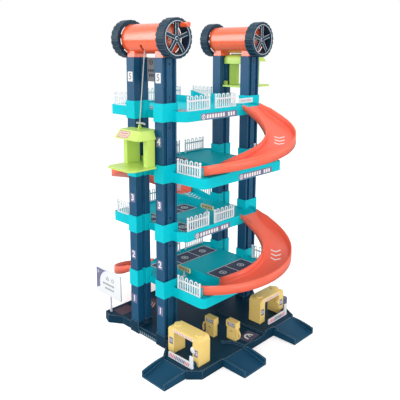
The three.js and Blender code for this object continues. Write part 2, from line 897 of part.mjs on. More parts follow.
function baseSolid() {
  const shape = baseOutline();
  const tray = cutBy(
    raised(shape, 0, base.rim),
    raised(drawnIn(shape, base.wall), base.floor, base.rim + overrun),
    ...baseCuts(),
    ...landingCuts(),
    baseHollow(),
  );
  const step = raised(platformOutline(), base.floor - overlap, platform.height);
  const feet = atColumns(sleeveBlock(foot.wall, 0, foot.height));
  return cutBy(
    joined(tray, step, ...platformRim(), guideSolid(), feet, ...armPosts()),
    atColumns(columnSocket(foot.floor, foot.height + overrun)),
    atColumns(runnerSlot(foot.wall, base.floor, foot.height + overrun)),
    ...armPostHoles(),
  );
}

// Exit ramp that runs down along -Y from the edge, with a high wall at one side
function exitRampSolid(top, width, highAtLeft) {
  const { length, wall, thickness, tip, lowWall, lowTip, highWall } = exitRamp;
  const slab = acrossX([
    [0, top], [-length, tip], [-length, 0], [-length + thickness, 0], [0, top - thickness],
  ], wall - overlap, width - wall + overlap);
  const side = (high) => {
    const curve = [];
    for (let i = 0; i <= exitSteps; i += 1) {
      const share = i / exitSteps;
      curve.push([-length * share, lowTip + (high - lowTip) * (1 - share ** 2)]);
    }
    return [[0, 0], ...curve, [-length, 0]];
  };
  const nearTop = highAtLeft ? highWall : lowWall;
  const farTop = highAtLeft ? lowWall : highWall;
  return joined(
    slab,
    acrossX(side(nearTop), 0, wall),
    acrossX(side(farTop), width - wall, width),
  );
}

// Toll arch, centred on its width, with its front face towards -Y
function archSolid() {
  const { width, depth, height, leg, opening, corner, padRadius, padHeight } = arch;
  const half = width / 2;
  const inner = half - leg;
  const top = [
    ...arcPoints([half - corner, height - corner], corner, 0, 90, 4),
    ...arcPoints([-half + corner, height - corner], corner, 90, 180, 4),
  ];
  const shape = [
    [-half, 0], [-inner, 0], [-inner, opening], [inner, opening], [inner, 0], [half, 0], ...top,
  ];
  const front = -depth / 2;
  const pads = [-1, 1].map((side) => {
    const x = side * (half - corner - padRadius / 2);
    return raised(arcPoints([x, 0], padRadius, 0, 360, 16).slice(0, -1),
      height - overlap, height + padHeight);
  });
  const lamp = rodY(arch.lamp, [front, front + arch.lampDepth], [inner, arch.lampHeight], 12);
  return joined(acrossY(shape, front, depth / 2), ...pads, lamp);
}

// Posts of the base that carry the barrier arms, drawn as the arches are
const armBack = -arch.depth / 2 - arm.ahead;

function armPosts() {
  const { aside, pivot, post, postHalf } = arm;
  const near = armBack + clearance;
  const body = block([aside - postHalf, aside + postHalf], [near, near + post],
    [-overlap, pivot + postHalf]);
  return atArches(body);
}

function armPostHoles() {
  const near = armBack + clearance;
  const span = [near - overrun, near + arm.post + overrun];
  return atArches(rodY(arm.pin + clearance, span, [arm.aside, arm.pivot], 10));
}

function atArches(solid) {
  const [sideX, sideY] = sideArchAt;
  const [frontX, frontY] = frontArchAt;
  return [
    solid.rotate([0, 0, -90]).translate([sideX, sideY, base.floor]),
    solid.translate([frontX + arm.frontShift, frontY, platform.height]),
  ];
}

// Barrier arm, rounded under its pivot so that it clears the floor when it goes up
function armSolid() {
  const { aside, lift, pivot, height, tipHeight, thickness, reach, tab, tabHeight, pin } = arm;
  const low = pivot - lift;
  const shape = [
    [aside - reach, lift], ...arcPoints([aside, pivot], low, 270, armRoundTo, 4),
    [aside + tab, pivot], [aside + tab, tabHeight], [aside - tab, tabHeight],
    [aside - tab, lift + height], [aside - reach, lift + tipHeight],
  ];
  return joined(
    acrossY(shape, armBack - thickness, armBack),
    rodY(pin, [armBack - overlap, armBack + arm.post], [aside, pivot], 10),
  );
}

function pumpSolid(nozzleSide) {
  const { width, depth, body, head, headGrow, display, nozzle } = pump;
  const half = width / 2;
  const headHalf = half + headGrow;
  const face = -depth / 2 - headGrow;
  const inset = headGrow * 2;
  const headSpan = [body - overlap, body + head];
  const cut = block([-headHalf + inset, headHalf - inset], [face - overrun, face + display],
    [body + inset, body + head - inset]);
  return cutBy(joined(
    block([-half, half], [-depth / 2, depth / 2], [0, body]),
    block([-headHalf, headHalf], [face, -face], headSpan),
    block([nozzleSide * half, nozzleSide * (half + nozzle)].sort((a, b) => a - b),
      [-nozzle / 2, nozzle / 2], [body / 2, body]),
  ), cut);
}

function signSolid() {
  const { post, width, height, thickness, low, shift } = sign;
  const half = post / 2;
  const across = [-width / 2 + shift, width / 2 + shift];
  return joined(
    block([-half, half], [-half, half], [clearance, low + height / 2]),
    block([-half - thickness, -half + overlap], across, [low, low + height]),
  );
}

function ticketSolid() {
  const { width, depth, height, low, post } = ticket;
  return joined(
    block([0, width], [-depth / 2, depth / 2], [low, low + height]),
    block([width / 2 - post / 2, width / 2 + post / 2], [-post / 2, post / 2], [0, low + overlap]),
  );
}

// Picket fence panel along X, standing on its rim
function fenceSolid() {
  const { length, height, pickets, picketWidth, thickness, rail, lowRail, highRail, point } = fence;
  const span = [-thickness / 2, thickness / 2];
  const pitch = (length - picketWidth) / (pickets - 1);
  const parts = [lowRail, highRail].map((z) => {
    return block([-length / 2, length / 2], span, [z, z + rail]);
  });
  for (let i = 0; i < pickets; i += 1) {
    const x = -length / 2 + i * pitch;
    const end = i === 0 || i === pickets - 1;
    const low = end ? clearance : lowRail;
    parts.push(acrossY([
      [x, low], [x + picketWidth, low], [x + picketWidth, height - point],
      [x + picketWidth / 2, height], [x, height - point],
    ], ...span));
  }
  return joined(...parts);
}

// The scene graph

function piece(name, geometry, look) {
  const mesh = new THREE.Mesh(geometry, new THREE.MeshStandardMaterial(look));
  mesh.name = name;
  return mesh;
}

function placed(node, [x, y, z], turn = 0) {
  node.position.set(x, y, z);
  node.rotation.z = turn;
  return node;
}

function addColumns(garage) {
  const joints = [];
  for (let level = 0; level < deckCount; level += 1) {
    joints.push(deckTop(level) - sleeve.joint);
  }
  const lows = [foot.floor + clearance, ...joints.map((z) => z + clearance / 2)];
  const highs = [...joints.map((z) => z - clearance / 2), columnTop];
  const places = {
    a_back: [-1, 1], a_front: [-1, -1], b_back: [1, 1], b_front: [1, -1],
  };
  for (const [where, [sideX, sideY]] of Object.entries(places)) {
    lows.forEach((low, storeyIndex) => {
      const geometry = toGeometry(columnSegment(low, highs[storeyIndex]));
      const mesh = piece(`column_${where}_${storeyIndex + 1}`, geometry, navy);
      const at = [sideX * towerSpacing / 2, sideY * columnSpacing / 2, 0];
      garage.add(placed(mesh, at, sideY > 0 ? Math.PI : 0));
    });
  }
}

function addFence(level, name, at, turn) {
  level.add(placed(piece(name, toGeometry(fenceSolid()), white), at, turn));
}

function addLevels(garage) {
  const deckGeometry = toGeometry(deckSolid());
  const rampGeometry = toGeometry(rampSolid());
  const seat = deck.wall + clearance + fence.thickness / 2;
  const edge = -deck.front + seat;
  const firstX = -deckHalfX + deck.chamferX + fence.fromCorner + fence.length / 2;
  const side = deckHalfX - seat;
  const sideY = deck.back - deck.cornerRadius - fence.length / 2;
  for (let i = 0; i < deckCount; i += 1) {
    const floorName = i + 2;
    const level = placed(new THREE.Group(), [0, 0, deckTop(i)], i % 2 ? 0 : Math.PI);
    level.add(piece(`deck_${floorName}`, deckGeometry, teal));
    level.add(piece(`curved_ramp_${floorName}`, rampGeometry, coral));
    if (i % 2) {
      addFence(level, `fence_${floorName}_left`, [firstX, edge, -deck.recess], 0);
      const nextX = firstX + fence.length + fence.gap;
      addFence(level, `fence_${floorName}_right`, [nextX, edge, -deck.recess], 0);
    } else {
      addFence(level, `fence_${floorName}_side`, [side, sideY, -deck.recess], Math.PI / 2);
    }
    garage.add(level);
  }
}

function addTower(garage, name, side) {
  const cabinBottom = deckTop(cabinRest[name].deckSteps) + cabinRest[name].above;
  const tower = placed(new THREE.Group(), [side * towerSpacing / 2, 0, 0], side > 0 ? Math.PI : 0);
  tower.add(piece(`drum_housing_${name}`, toGeometry(drumSolid()), orange));
  tower.add(piece(`spool_axle_${name}`, toGeometry(axleSolid()), white));
  const centre = wheelInner + tyre.width / 2;
  const crank = piece(`crank_wheel_${name}`, toGeometry(wheelSolid(knobAt(name))), tyreNavy);
  tower.add(placed(crank, [0, -centre, drumAxis]));
  const far = piece(`far_wheel_${name}`, toGeometry(wheelSolid()), tyreNavy);
  tower.add(placed(far, [0, centre, drumAxis], Math.PI));
  tower.add(piece(`crank_knob_${name}`, toGeometry(knobSolid(name)), orange));
  const cabinMesh = piece(`lift_cabin_${name}`, toGeometry(cabinSolid()), lime);
  tower.add(placed(cabinMesh, [0, 0, cabinBottom]));
  tower.add(piece(`lift_string_${name}`, toGeometry(stringSolid(cabinBottom)), white));
  garage.add(tower);
}

function addArches(garage) {
  const [sideX, sideY] = sideArchAt;
  const [frontX, frontY] = frontArchAt;
  const settings = [
    ['side', [sideX, sideY, base.floor + clearance], -Math.PI / 2, 0],
    ['front', [frontX, frontY, platform.height + clearance], 0, arm.frontShift],
  ];
  for (const [name, at, turn, shift] of settings) {
    const group = placed(new THREE.Group(), at, turn);
    group.add(piece(`toll_arch_${name}`, toGeometry(archSolid()), cream));
    const barrier = piece(`barrier_arm_${name}`, toGeometry(armSolid()), white);
    group.add(placed(barrier, [shift, 0, -clearance]));
    garage.add(group);
  }
  const box = piece('ticket_box', toGeometry(ticketSolid()), slate);
  const boxX = frontX + arch.width / 2 + clearance;
  garage.add(placed(box, [boxX, frontY - ticket.depth, platform.height + clearance]));
}

function addBase(garage) {
  garage.add(piece('base_plate', toGeometry(baseSolid()), navy));
  const edgeX = -baseLeft - clearance;
  const edgeY = -baseFront - clearance;
  const exitPiece = (name, top, width, highAtLeft) => {
    return piece(name, toGeometry(exitRampSolid(top, width, highAtLeft)), navy);
  };
  const side = exitPiece('exit_ramp_side', base.floor, sideExit.width, true);
  garage.add(placed(side, [edgeX, sideMouth[1], 0], -Math.PI / 2));
  const middle = exitPiece('exit_ramp_middle', base.floor, middleExit.width, false);
  garage.add(placed(middle, [middleFrom, edgeY, 0]));
  const right = exitPiece('exit_ramp_right', platform.height, rightExit.width, false);
  garage.add(placed(right, [rightFrom, edgeY, 0]));
  pumpPlaces.forEach(([x, y], i) => {
    const mesh = piece(`fuel_pump_${i + 1}`, toGeometry(pumpSolid(i ? 1 : -1)), cream);
    const at = [middleMouth[1] + x, y - baseFront, base.floor + clearance];
    garage.add(placed(mesh, at, -Math.PI / 2));
  });
  const signAt = [-baseHalfX - base.ear + sign.insideEar, baseBack - sign.insideBack, base.floor];
  garage.add(placed(piece('info_sign', toGeometry(signSolid()), white), signAt));
}

const garage = new THREE.Group();
addBase(garage);
addColumns(garage);
addLevels(garage);
addTower(garage, 'a', -1);
addTower(garage, 'b', 1);
addArches(garage);

export default garage;
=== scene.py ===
# %% [markdown]
# A toy parking garage with two hand-wound lifts, dressed in Blender.
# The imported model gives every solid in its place, and this script adds what a solid
# can't show: moulded plastic, smooth ramps, fences, screws, stickers and small signs.

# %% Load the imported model
import json
import math
import bmesh
import bpy
from mathutils import Matrix, Vector

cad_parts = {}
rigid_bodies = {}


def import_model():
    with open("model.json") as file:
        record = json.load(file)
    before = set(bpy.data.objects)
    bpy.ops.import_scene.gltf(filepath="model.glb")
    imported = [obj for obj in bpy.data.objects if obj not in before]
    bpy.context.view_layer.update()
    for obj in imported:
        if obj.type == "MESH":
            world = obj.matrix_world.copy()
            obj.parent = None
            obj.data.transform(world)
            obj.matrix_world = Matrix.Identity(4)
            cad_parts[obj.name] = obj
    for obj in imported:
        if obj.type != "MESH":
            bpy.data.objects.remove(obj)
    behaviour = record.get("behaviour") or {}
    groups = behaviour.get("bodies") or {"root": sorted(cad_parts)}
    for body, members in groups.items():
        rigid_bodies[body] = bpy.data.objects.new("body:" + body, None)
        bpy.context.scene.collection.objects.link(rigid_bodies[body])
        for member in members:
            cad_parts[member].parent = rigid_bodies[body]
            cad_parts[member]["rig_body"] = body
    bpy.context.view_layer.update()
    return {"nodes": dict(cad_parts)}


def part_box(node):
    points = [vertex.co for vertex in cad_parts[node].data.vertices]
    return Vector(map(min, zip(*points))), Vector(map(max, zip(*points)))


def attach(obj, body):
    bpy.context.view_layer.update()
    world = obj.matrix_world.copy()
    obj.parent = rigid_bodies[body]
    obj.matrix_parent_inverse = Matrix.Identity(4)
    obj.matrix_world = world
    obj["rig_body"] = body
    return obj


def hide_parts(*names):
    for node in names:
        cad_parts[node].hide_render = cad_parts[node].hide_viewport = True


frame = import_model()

# %% [markdown]
# Blender counts in metres, and a toy is easier to think of in millimetres. So the sizes
# of its parts are in millimetres, and one value turns them into metres. The widths of
# the pale edges, which are partly wear and partly painted highlight, the lamps and the
# floor are in metres.

# %% Units and the levels of the decks
MM = 0.001
TOWER_X = 100.0
COLUMN_Y = 32.5
COLUMN_HALF_X = 14.5
COLUMN_HALF_Y = 8.8
DECK_RIMS = {"2": 100.5, "3": 194.5, "4": 288.5, "5": 382.5}
TOP_LEVEL = "5"
DECK_FLOOR_BELOW_RIM = 3.0
SLEEVE_ABOVE = 12.0
SLEEVE_BELOW = 16.0
BASE_FLOOR = 12.0
COLUMN_TOP = 461.5
DRUM_AXIS = 489.5
HALF_TURN = math.pi
QUARTER_DEGREES = 90.0
for level, rim in DECK_RIMS.items():
    print("deck", level, "has its floor at", rim - DECK_FLOOR_BELOW_RIM, "mm")

# %% [markdown]
# The camera comes early, so that each new piece can be looked at as the photograph
# shows it. Its place, height and lens were found by fitting the corners of the decks.
# The shift moves the picture without turning the camera, so upright lines stay as they are.
# The Standard view shows each colour as it is, without a film look.

# %% Camera
CAMERA_PLACE = (-650.3, -630.9, 475.2)
CAMERA_TURN = 45.0
CAMERA_DOWN = 10.93
camera_data = bpy.data.cameras.new("view")
camera_data.sensor_width = 36.0
camera_data.lens = 48.57
camera_data.shift_x = 0.0297
camera_data.shift_y = -0.1188
camera_data.clip_end = 50.0
camera = bpy.data.objects.new("view", camera_data)
camera.location = Vector(CAMERA_PLACE) * MM
camera.rotation_euler = (math.radians(QUARTER_DEGREES - CAMERA_DOWN), 0.0, math.radians(-CAMERA_TURN))
bpy.context.collection.objects.link(camera)
bpy.context.scene.camera = camera
bpy.context.scene.view_settings.view_transform = "Standard"
print("camera at", [round(value, 3) for value in camera.location])

# %% [markdown]
# A node tree is a chain of small steps. One helper adds a step, sets its own settings,
# and gives each input either a value or the output of an earlier step. A second one
# starts a group, which is a tree that has named inputs and outputs of its own.

# %% Helpers: one step of a node tree, and an empty group
def step(tree, kind, inputs=None, **settings):
    """A new node of that kind, with its settings, and its inputs set or linked."""
    made = tree.nodes.new(kind)
    for name, value in settings.items():
        setattr(made, name, value)
    for key, value in (inputs or {}).items():
        if isinstance(value, bpy.types.NodeSocket):
            tree.links.new(value, made.inputs[key])
        else:
            made.inputs[key].default_value = value
    return made


def group_tree(name, kind, sockets):
    """An empty node group with named sockets: (name, direction, type, value)."""
    tree = bpy.data.node_groups.new(name, kind)
    for label, direction, socket_type, value in sockets:
        made = tree.interface.new_socket(name=label, in_out=direction, socket_type=socket_type)
        if value is not None:
            made.default_value = value
    return tree

# %% [markdown]
# Edges of moulded plastic are never sharp. Hands and cars rub them, and they end up
# a little paler and shinier than the faces. Their pale colour is also a painted
# highlight, for the thin line of light that a rounded edge catches. The bevel node
# feels for an edge nearby: where the rounded direction leaves the face's own
# direction, there is an edge.

# %% Shader group: rubbed and highlit edges
FLOAT, COLOUR, VECTOR = "NodeSocketFloat", "NodeSocketColor", "NodeSocketVector"
edge_tree = group_tree("rubbed_and_highlit_edges", "ShaderNodeTree", [
    ("Width", "INPUT", FLOAT, 0.0008),
    ("Amount", "INPUT", FLOAT, 1.0),
    ("Speckle", "INPUT", FLOAT, 300.0),
    ("Mask", "OUTPUT", FLOAT, None),
])
edge_in = step(edge_tree, "NodeGroupInput").outputs
rounded = step(edge_tree, "ShaderNodeBevel", {"Radius": edge_in["Width"]}, samples=4)
facing = step(edge_tree, "ShaderNodeNewGeometry")
along = step(edge_tree, "ShaderNodeVectorMath", {
    0: rounded.outputs["Normal"], 1: facing.outputs["Normal"],
}, operation="DOT_PRODUCT")
turned_away = step(edge_tree, "ShaderNodeMapRange", {
    "Value": along.outputs["Value"], "From Min": 0.995, "From Max": 0.80,
})
place = step(edge_tree, "ShaderNodeTexCoord")
speckle = step(edge_tree, "ShaderNodeTexNoise", {
    "Vector": place.outputs["Object"], "Scale": edge_in["Speckle"], "Detail": 2.0,
})
broken = step(edge_tree, "ShaderNodeMapRange", {
    "Value": speckle.outputs["Fac"], "From Min": 0.22, "From Max": 0.44,
})
rubbed_and_highlit = step(edge_tree, "ShaderNodeMath", {
    0: turned_away.outputs["Result"], 1: broken.outputs["Result"],
}, operation="MULTIPLY")
scaled = step(edge_tree, "ShaderNodeMath", {
    0: rubbed_and_highlit.outputs["Value"], 1: edge_in["Amount"],
}, operation="MULTIPLY", use_clamp=True)
step(edge_tree, "NodeGroupOutput", {"Mask": scaled.outputs["Value"]})
print("group made:", edge_tree.name)

# %% [markdown]
# Up close, a moulded face isn't even. The colour drifts a little where the plastic
# flowed, the gloss varies with handling, and the mould leaves a very fine grain.
# One group makes all three, so that each plastic only chooses its own values.

# %% Shader group: moulded skin
skin_tree = group_tree("moulded_skin", "ShaderNodeTree", [
    ("Colour", "INPUT", COLOUR, (0.5, 0.5, 0.5, 1.0)),
    ("Deep", "INPUT", COLOUR, (0.4, 0.4, 0.4, 1.0)),
    ("Rubbed And Highlit", "INPUT", COLOUR, (0.8, 0.8, 0.8, 1.0)),
    ("Roughness", "INPUT", FLOAT, 0.4),
    ("Spread", "INPUT", FLOAT, 0.12),
    ("Flow Scale", "INPUT", FLOAT, 22.0),
    ("Grain Scale", "INPUT", FLOAT, 1600.0),
    ("Edge Width", "INPUT", FLOAT, 0.0008),
    ("Edge Amount", "INPUT", FLOAT, 0.5),
    ("Colour", "OUTPUT", COLOUR, None),
    ("Roughness", "OUTPUT", FLOAT, None),
    ("Height", "OUTPUT", FLOAT, None),
])
skin_in = step(skin_tree, "NodeGroupInput").outputs
skin_place = step(skin_tree, "ShaderNodeTexCoord").outputs["Object"]
flow = step(skin_tree, "ShaderNodeTexNoise", {
    "Vector": skin_place, "Scale": skin_in["Flow Scale"], "Detail": 3.0, "Distortion": 0.6,
})
grain = step(skin_tree, "ShaderNodeTexNoise", {
    "Vector": skin_place, "Scale": skin_in["Grain Scale"], "Detail": 2.0,
})
handled = step(skin_tree, "ShaderNodeTexNoise", {
    "Vector": skin_place, "Scale": 65.0, "Detail": 5.0, "Roughness": 0.7,
})
drift = step(skin_tree, "ShaderNodeMapRange", {
    "Value": flow.outputs["Fac"], "From Min": 0.35, "From Max": 0.75, "To Max": 0.6,
})
drifted = step(skin_tree, "ShaderNodeMix", {
    0: drift.outputs["Result"], 6: skin_in["Colour"], 7: skin_in["Deep"],
}, data_type="RGBA")
edges = step(skin_tree, "ShaderNodeGroup", node_tree=edge_tree)
skin_tree.links.new(skin_in["Edge Width"], edges.inputs["Width"])
skin_tree.links.new(skin_in["Edge Amount"], edges.inputs["Amount"])
# The edges are paled partly for wear and partly as a painted highlight along them.
paled = step(skin_tree, "ShaderNodeMix", {
    0: edges.outputs["Mask"], 6: drifted.outputs[2], 7: skin_in["Rubbed And Highlit"],
}, data_type="RGBA")
uneven = step(skin_tree, "ShaderNodeMath", {
    0: handled.outputs["Fac"], 1: 0.5,
}, operation="SUBTRACT")
gloss = step(skin_tree, "ShaderNodeMath", {
    0: uneven.outputs["Value"], 1: skin_in["Spread"], 2: skin_in["Roughness"],
}, operation="MULTIPLY_ADD", use_clamp=True)
sunk = step(skin_tree, "ShaderNodeMath", {
    0: flow.outputs["Fac"], 1: 1.6, 2: grain.outputs["Fac"],
}, operation="MULTIPLY_ADD")
step(skin_tree, "NodeGroupOutput", {
    "Colour": paled.outputs[2], "Roughness": gloss.outputs["Value"], "Height": sunk.outputs["Value"],
})
print("group made:", skin_tree.name)

# %% [markdown]
# Every plastic of the garage is the same kind of material with other values: a colour,
# a deeper colour where it flowed thick, a paler one at edges, partly for wear and partly
# as painted highlight, and a gloss. The grain is equally deep in all of them. The bevel
# node rounds each edge in the shading.

# %% Helpers: a new material and a moulded plastic
PLASTIC = {"ior": 1.48, "coat_gloss": 0.22, "grain_depth": 0.02, "grain_strength": 0.6}


def new_material(name):
    """A new material, with its tree and its main shader."""
    material = bpy.data.materials.new(name)
    material.use_nodes = True
    return material, material.node_tree, material.node_tree.nodes["Principled BSDF"]


def moulded_plastic(name, colour, deep, pale, gloss, rub_and_highlight=0.5, coat=0.0, edge=0.0008, shine=0.5):
    """A plastic whose colour, gloss and grain come from the moulded skin group."""
    material, tree, shader = new_material(name)
    shader.inputs["IOR"].default_value = PLASTIC["ior"]
    shader.inputs["Specular IOR Level"].default_value = shine
    shader.inputs["Coat Weight"].default_value = coat
    shader.inputs["Coat Roughness"].default_value = PLASTIC["coat_gloss"]
    skin = step(tree, "ShaderNodeGroup", node_tree=skin_tree)
    values = {
        "Colour": (*colour, 1.0), "Deep": (*deep, 1.0), "Rubbed And Highlit": (*pale, 1.0),
        "Roughness": gloss, "Edge Amount": rub_and_highlight, "Edge Width": edge,
    }
    for key, value in values.items():
        skin.inputs[key].default_value = value
    rounded_edge = step(tree, "ShaderNodeBevel", {"Radius": edge}, samples=4)
    relief = step(tree, "ShaderNodeBump", {
        "Height": skin.outputs["Height"], "Normal": rounded_edge.outputs["Normal"],
        "Distance": PLASTIC["grain_depth"] * MM, "Strength": PLASTIC["grain_strength"],
    })
    tree.links.new(skin.outputs["Colour"], shader.inputs["Base Color"])
    tree.links.new(skin.outputs["Roughness"], shader.inputs["Roughness"])
    tree.links.new(relief.outputs["Normal"], shader.inputs["Normal"])
    material.diffuse_color = (*colour, 1.0)
    return material

# %% [markdown]
# Colours are written as light and not as screen values, so that a shade looks
# darker in numbers than it does in the picture. The navy is nearly black with a
# little blue, the teal is strong and cool, and the coral and orange are close cousins.
# The base's tray and the exit ramps are the same navy in darker copies, which are
# painted shade, darkest on the tray under the decks.

# %% Materials of the plastics
navy = moulded_plastic("navy", (0.006, 0.082, 0.180), (0.004, 0.058, 0.135),
                       (0.16, 0.31, 0.45), 0.34, rub_and_highlight=0.7, shine=0.28)
# A darker copy of the navy, painted shade for the tray under the decks.
shaded_tray_navy = moulded_plastic("shaded_tray_navy", (0.004, 0.038, 0.076), (0.003, 0.030, 0.062),
                            (0.30, 0.42, 0.50), 0.50, rub_and_highlight=0.75, edge=0.0010, shine=0.12)
# A less dark copy of the navy, painted shade for the exit ramps.
shaded_ramp_navy = moulded_plastic("shaded_ramp_navy", (0.006, 0.060, 0.122), (0.004, 0.046, 0.098),
                            (0.26, 0.40, 0.50), 0.46, rub_and_highlight=0.7, edge=0.0010, shine=0.16)
teal = moulded_plastic("teal", (0.0, 0.57, 0.66), (0.0, 0.50, 0.58),
                       (0.08, 0.72, 0.78), 0.52, rub_and_highlight=0.45, shine=0.12)
coral = moulded_plastic("coral", (0.94, 0.155, 0.090), (0.84, 0.120, 0.065),
                        (1.0, 0.40, 0.29), 0.32, rub_and_highlight=0.5, coat=0.1, shine=0.35)
orange = moulded_plastic("orange", (0.95, 0.118, 0.026), (0.87, 0.095, 0.020),
                         (1.0, 0.32, 0.16), 0.26, rub_and_highlight=0.4, coat=0.7, shine=0.6)
wheel_dark = moulded_plastic("wheel", (0.004, 0.032, 0.062), (0.003, 0.024, 0.048),
                             (0.16, 0.28, 0.38), 0.42, rub_and_highlight=0.8, shine=0.26)
lime = moulded_plastic("lime", (0.56, 0.76, 0.15), (0.49, 0.69, 0.11),
                       (0.76, 0.90, 0.32), 0.34, rub_and_highlight=0.4, coat=0.05, shine=0.4)
cream = moulded_plastic("cream", (0.92, 0.68, 0.23), (0.86, 0.60, 0.17),
                        (0.96, 0.80, 0.46), 0.38, rub_and_highlight=0.4, shine=0.35)
white = moulded_plastic("white", (0.80, 0.83, 0.86), (0.74, 0.77, 0.80),
                        (0.90, 0.90, 0.90), 0.40, rub_and_highlight=0.3)
slate = moulded_plastic("slate", (0.10, 0.115, 0.20), (0.08, 0.09, 0.16),
                        (0.24, 0.26, 0.36), 0.40, rub_and_highlight=0.4)
PLASTICS = (navy, shaded_tray_navy, shaded_ramp_navy, teal, coral, orange, wheel_dark, lime, cream, white, slate)
print("plastics:", [material.name for material in PLASTICS])

# %% [markdown]
# The lift strings are twisted from thin strands. The twist is a slanted wave around
# the string, made from the object's own coordinates, so that it stretches with the string.

# %% Material: twisted string
TWIST_SCALE = 900.0
string_look, string_tree, string_shader = new_material("string")
string_shader.inputs["Roughness"].default_value = 0.75
string_shader.inputs["Sheen Weight"].default_value = 0.3
string_place = step(string_tree, "ShaderNodeTexCoord")
slanted = step(string_tree, "ShaderNodeMapping", {
    "Vector": string_place.outputs["Object"], "Rotation": (0.6, 0.6, 0.0),
})
strands = step(string_tree, "ShaderNodeTexWave", {
    "Vector": slanted.outputs["Vector"], "Scale": TWIST_SCALE, "Distortion": 0.4,
}, bands_direction="Z")
strand_colour = step(string_tree, "ShaderNodeMix", {
    0: strands.outputs["Fac"], 6: (0.50, 0.50, 0.48, 1.0), 7: (0.88, 0.88, 0.86, 1.0),
}, data_type="RGBA")
strand_relief = step(string_tree, "ShaderNodeBump", {
    "Height": strands.outputs["Fac"], "Distance": 0.0002,
})
string_tree.links.new(strand_colour.outputs[2], string_shader.inputs["Base Color"])
string_tree.links.new(strand_relief.outputs["Normal"], string_shader.inputs["Normal"])
print("scale of the string's twist:", TWIST_SCALE)

# %% [markdown]
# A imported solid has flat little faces, so a round drum looks like a prism. A copy of
# it with its corners merged can be shaded smooth, but only where narrow strips meet at
# a small angle. Weighted normals then keep the wide faces flat beside those strips.

# %% Helper: smooth copies of solids
STRIP_WIDTH = 9.0
SMOOTH_ANGLE = math.radians(35.0)
FLAT_ANGLE = math.radians(0.5)
WELD = 0.002


def as_final_mesh(work_object, name):
    """The object's mesh with its modifiers applied, as a new mesh of that name."""
    graph = bpy.context.evaluated_depsgraph_get()
    graph.update()
    mesh = bpy.data.meshes.new_from_object(work_object.evaluated_get(graph), depsgraph=graph)
    mesh.name = name
    return mesh


def new_object(name, mesh):
    """An object with that mesh at the origin, in the scene."""
    made = bpy.data.objects.new(name, mesh)
    bpy.context.collection.objects.link(made)
    return made


def mark_strips(work):
    """Marks each edge smooth where narrow faces meet at a small angle, and the others sharp."""
    for edge in work.edges:
        smooth = False
        if len(edge.link_faces) == 2:
            narrow = min(face.calc_area() for face in edge.link_faces) / edge.calc_length()
            smooth = edge.calc_face_angle(HALF_TURN) < SMOOTH_ANGLE and narrow < STRIP_WIDTH * MM
        edge.smooth = smooth
    for face in work.faces:
        face.smooth = True


def smooth_copy(node, material):
    """A smooth copy of a node, which stands for the node and rides with its body."""
    source = frame["nodes"][node]
    work = bmesh.new()
    work.from_mesh(source.data)
    bmesh.ops.remove_doubles(work, verts=work.verts, dist=WELD * MM)
    bmesh.ops.dissolve_limit(work, angle_limit=FLAT_ANGLE, verts=work.verts, edges=work.edges)
    mark_strips(work)
    mesh = bpy.data.meshes.new(node + "_skin")
    work.to_mesh(mesh)
    work.free()
    copy = new_object(node + "_skin", mesh)
    weighted = copy.modifiers.new("weighted", "WEIGHTED_NORMAL")
    weighted.keep_sharp = True
    copy.data = as_final_mesh(copy, node + "_skin")
    copy.modifiers.clear()
    copy.data.materials.clear()
    copy.data.materials.append(material)
    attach(copy, source["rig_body"])
    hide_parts(node)
    return copy

# %% [markdown]
# Each solid takes the plastic that the two tables below give for its name. Those with
# curves get a smooth copy, and the straight ones keep their own faces.

# %% Plastics on the solids
SMOOTHED = {
    "base_plate": shaded_tray_navy, "deck_2": teal, "deck_3": teal, "deck_4": teal, "deck_5": teal,
    "drum_housing_a": orange, "drum_housing_b": orange,
    "crank_wheel_a": wheel_dark, "crank_wheel_b": wheel_dark,
    "far_wheel_a": wheel_dark, "far_wheel_b": wheel_dark,
    "crank_knob_a": orange, "crank_knob_b": orange,
    "lift_cabin_a": lime, "lift_cabin_b": lime,
    "spool_axle_a": white, "spool_axle_b": white,
    "toll_arch_side": cream, "toll_arch_front": cream,
    "exit_ramp_side": shaded_ramp_navy, "exit_ramp_middle": shaded_ramp_navy, "exit_ramp_right": shaded_ramp_navy,
}
STRAIGHT = {
    "column": navy, "fence": white, "fuel_pump": cream, "info_sign": white,
    "barrier_arm": white, "ticket_box": slate, "lift_string": string_look,
}
skins = {node: smooth_copy(node, material) for node, material in SMOOTHED.items()}
for node, made in frame["nodes"].items():
    for start, material in STRAIGHT.items():
        if node.startswith(start):
            made.data.materials.clear()
            made.data.materials.append(material)
print("smooth copies:", len(skins), "solids kept:", len(frame["nodes"]) - len(skins))

# %% [markdown]
# A curved ramp is a channel with rounded inner corners, drawn once and swept along its
# path. Seen from above, the path is a short straight and half a circle. Geometry Nodes
# sweep the channel flat, and then lower each point by a rule: steep at first, then
# gentle. The walls start low at the mouth and rise over a short way.

# %% Geometry Nodes: a channel along a falling path
RAMP = {
    "outer": 87.4, "width": 46.8, "centre": 95.0, "front": 66.8, "wall": 2.2, "floor": 2.0,
    "wall_height": 12.5, "mouth_wall": 4.5, "rise": 24.0, "fillet": 4.0,
    "top": -3.5, "bottom": -91.5, "steep": 0.8,
}
OBJECT, MATERIAL, GEOMETRY = "NodeSocketObject", "NodeSocketMaterial", "NodeSocketGeometry"
INTEGER = "NodeSocketInt"
sweep_tree = group_tree("falling_channel", "GeometryNodeTree", [
    ("Path", "INPUT", GEOMETRY, None),
    ("Channel", "INPUT", OBJECT, None),
    ("Stations", "INPUT", INTEGER, 96),
    ("Top", "INPUT", FLOAT, 0.0),
    ("Bottom", "INPUT", FLOAT, 0.0),
    ("Steep", "INPUT", FLOAT, 0.8),
    ("Mouth Share", "INPUT", FLOAT, 0.36),
    ("Rise", "INPUT", FLOAT, 0.024),
    ("Finish", "INPUT", MATERIAL, None),
    ("Ramp", "OUTPUT", GEOMETRY, None),
])
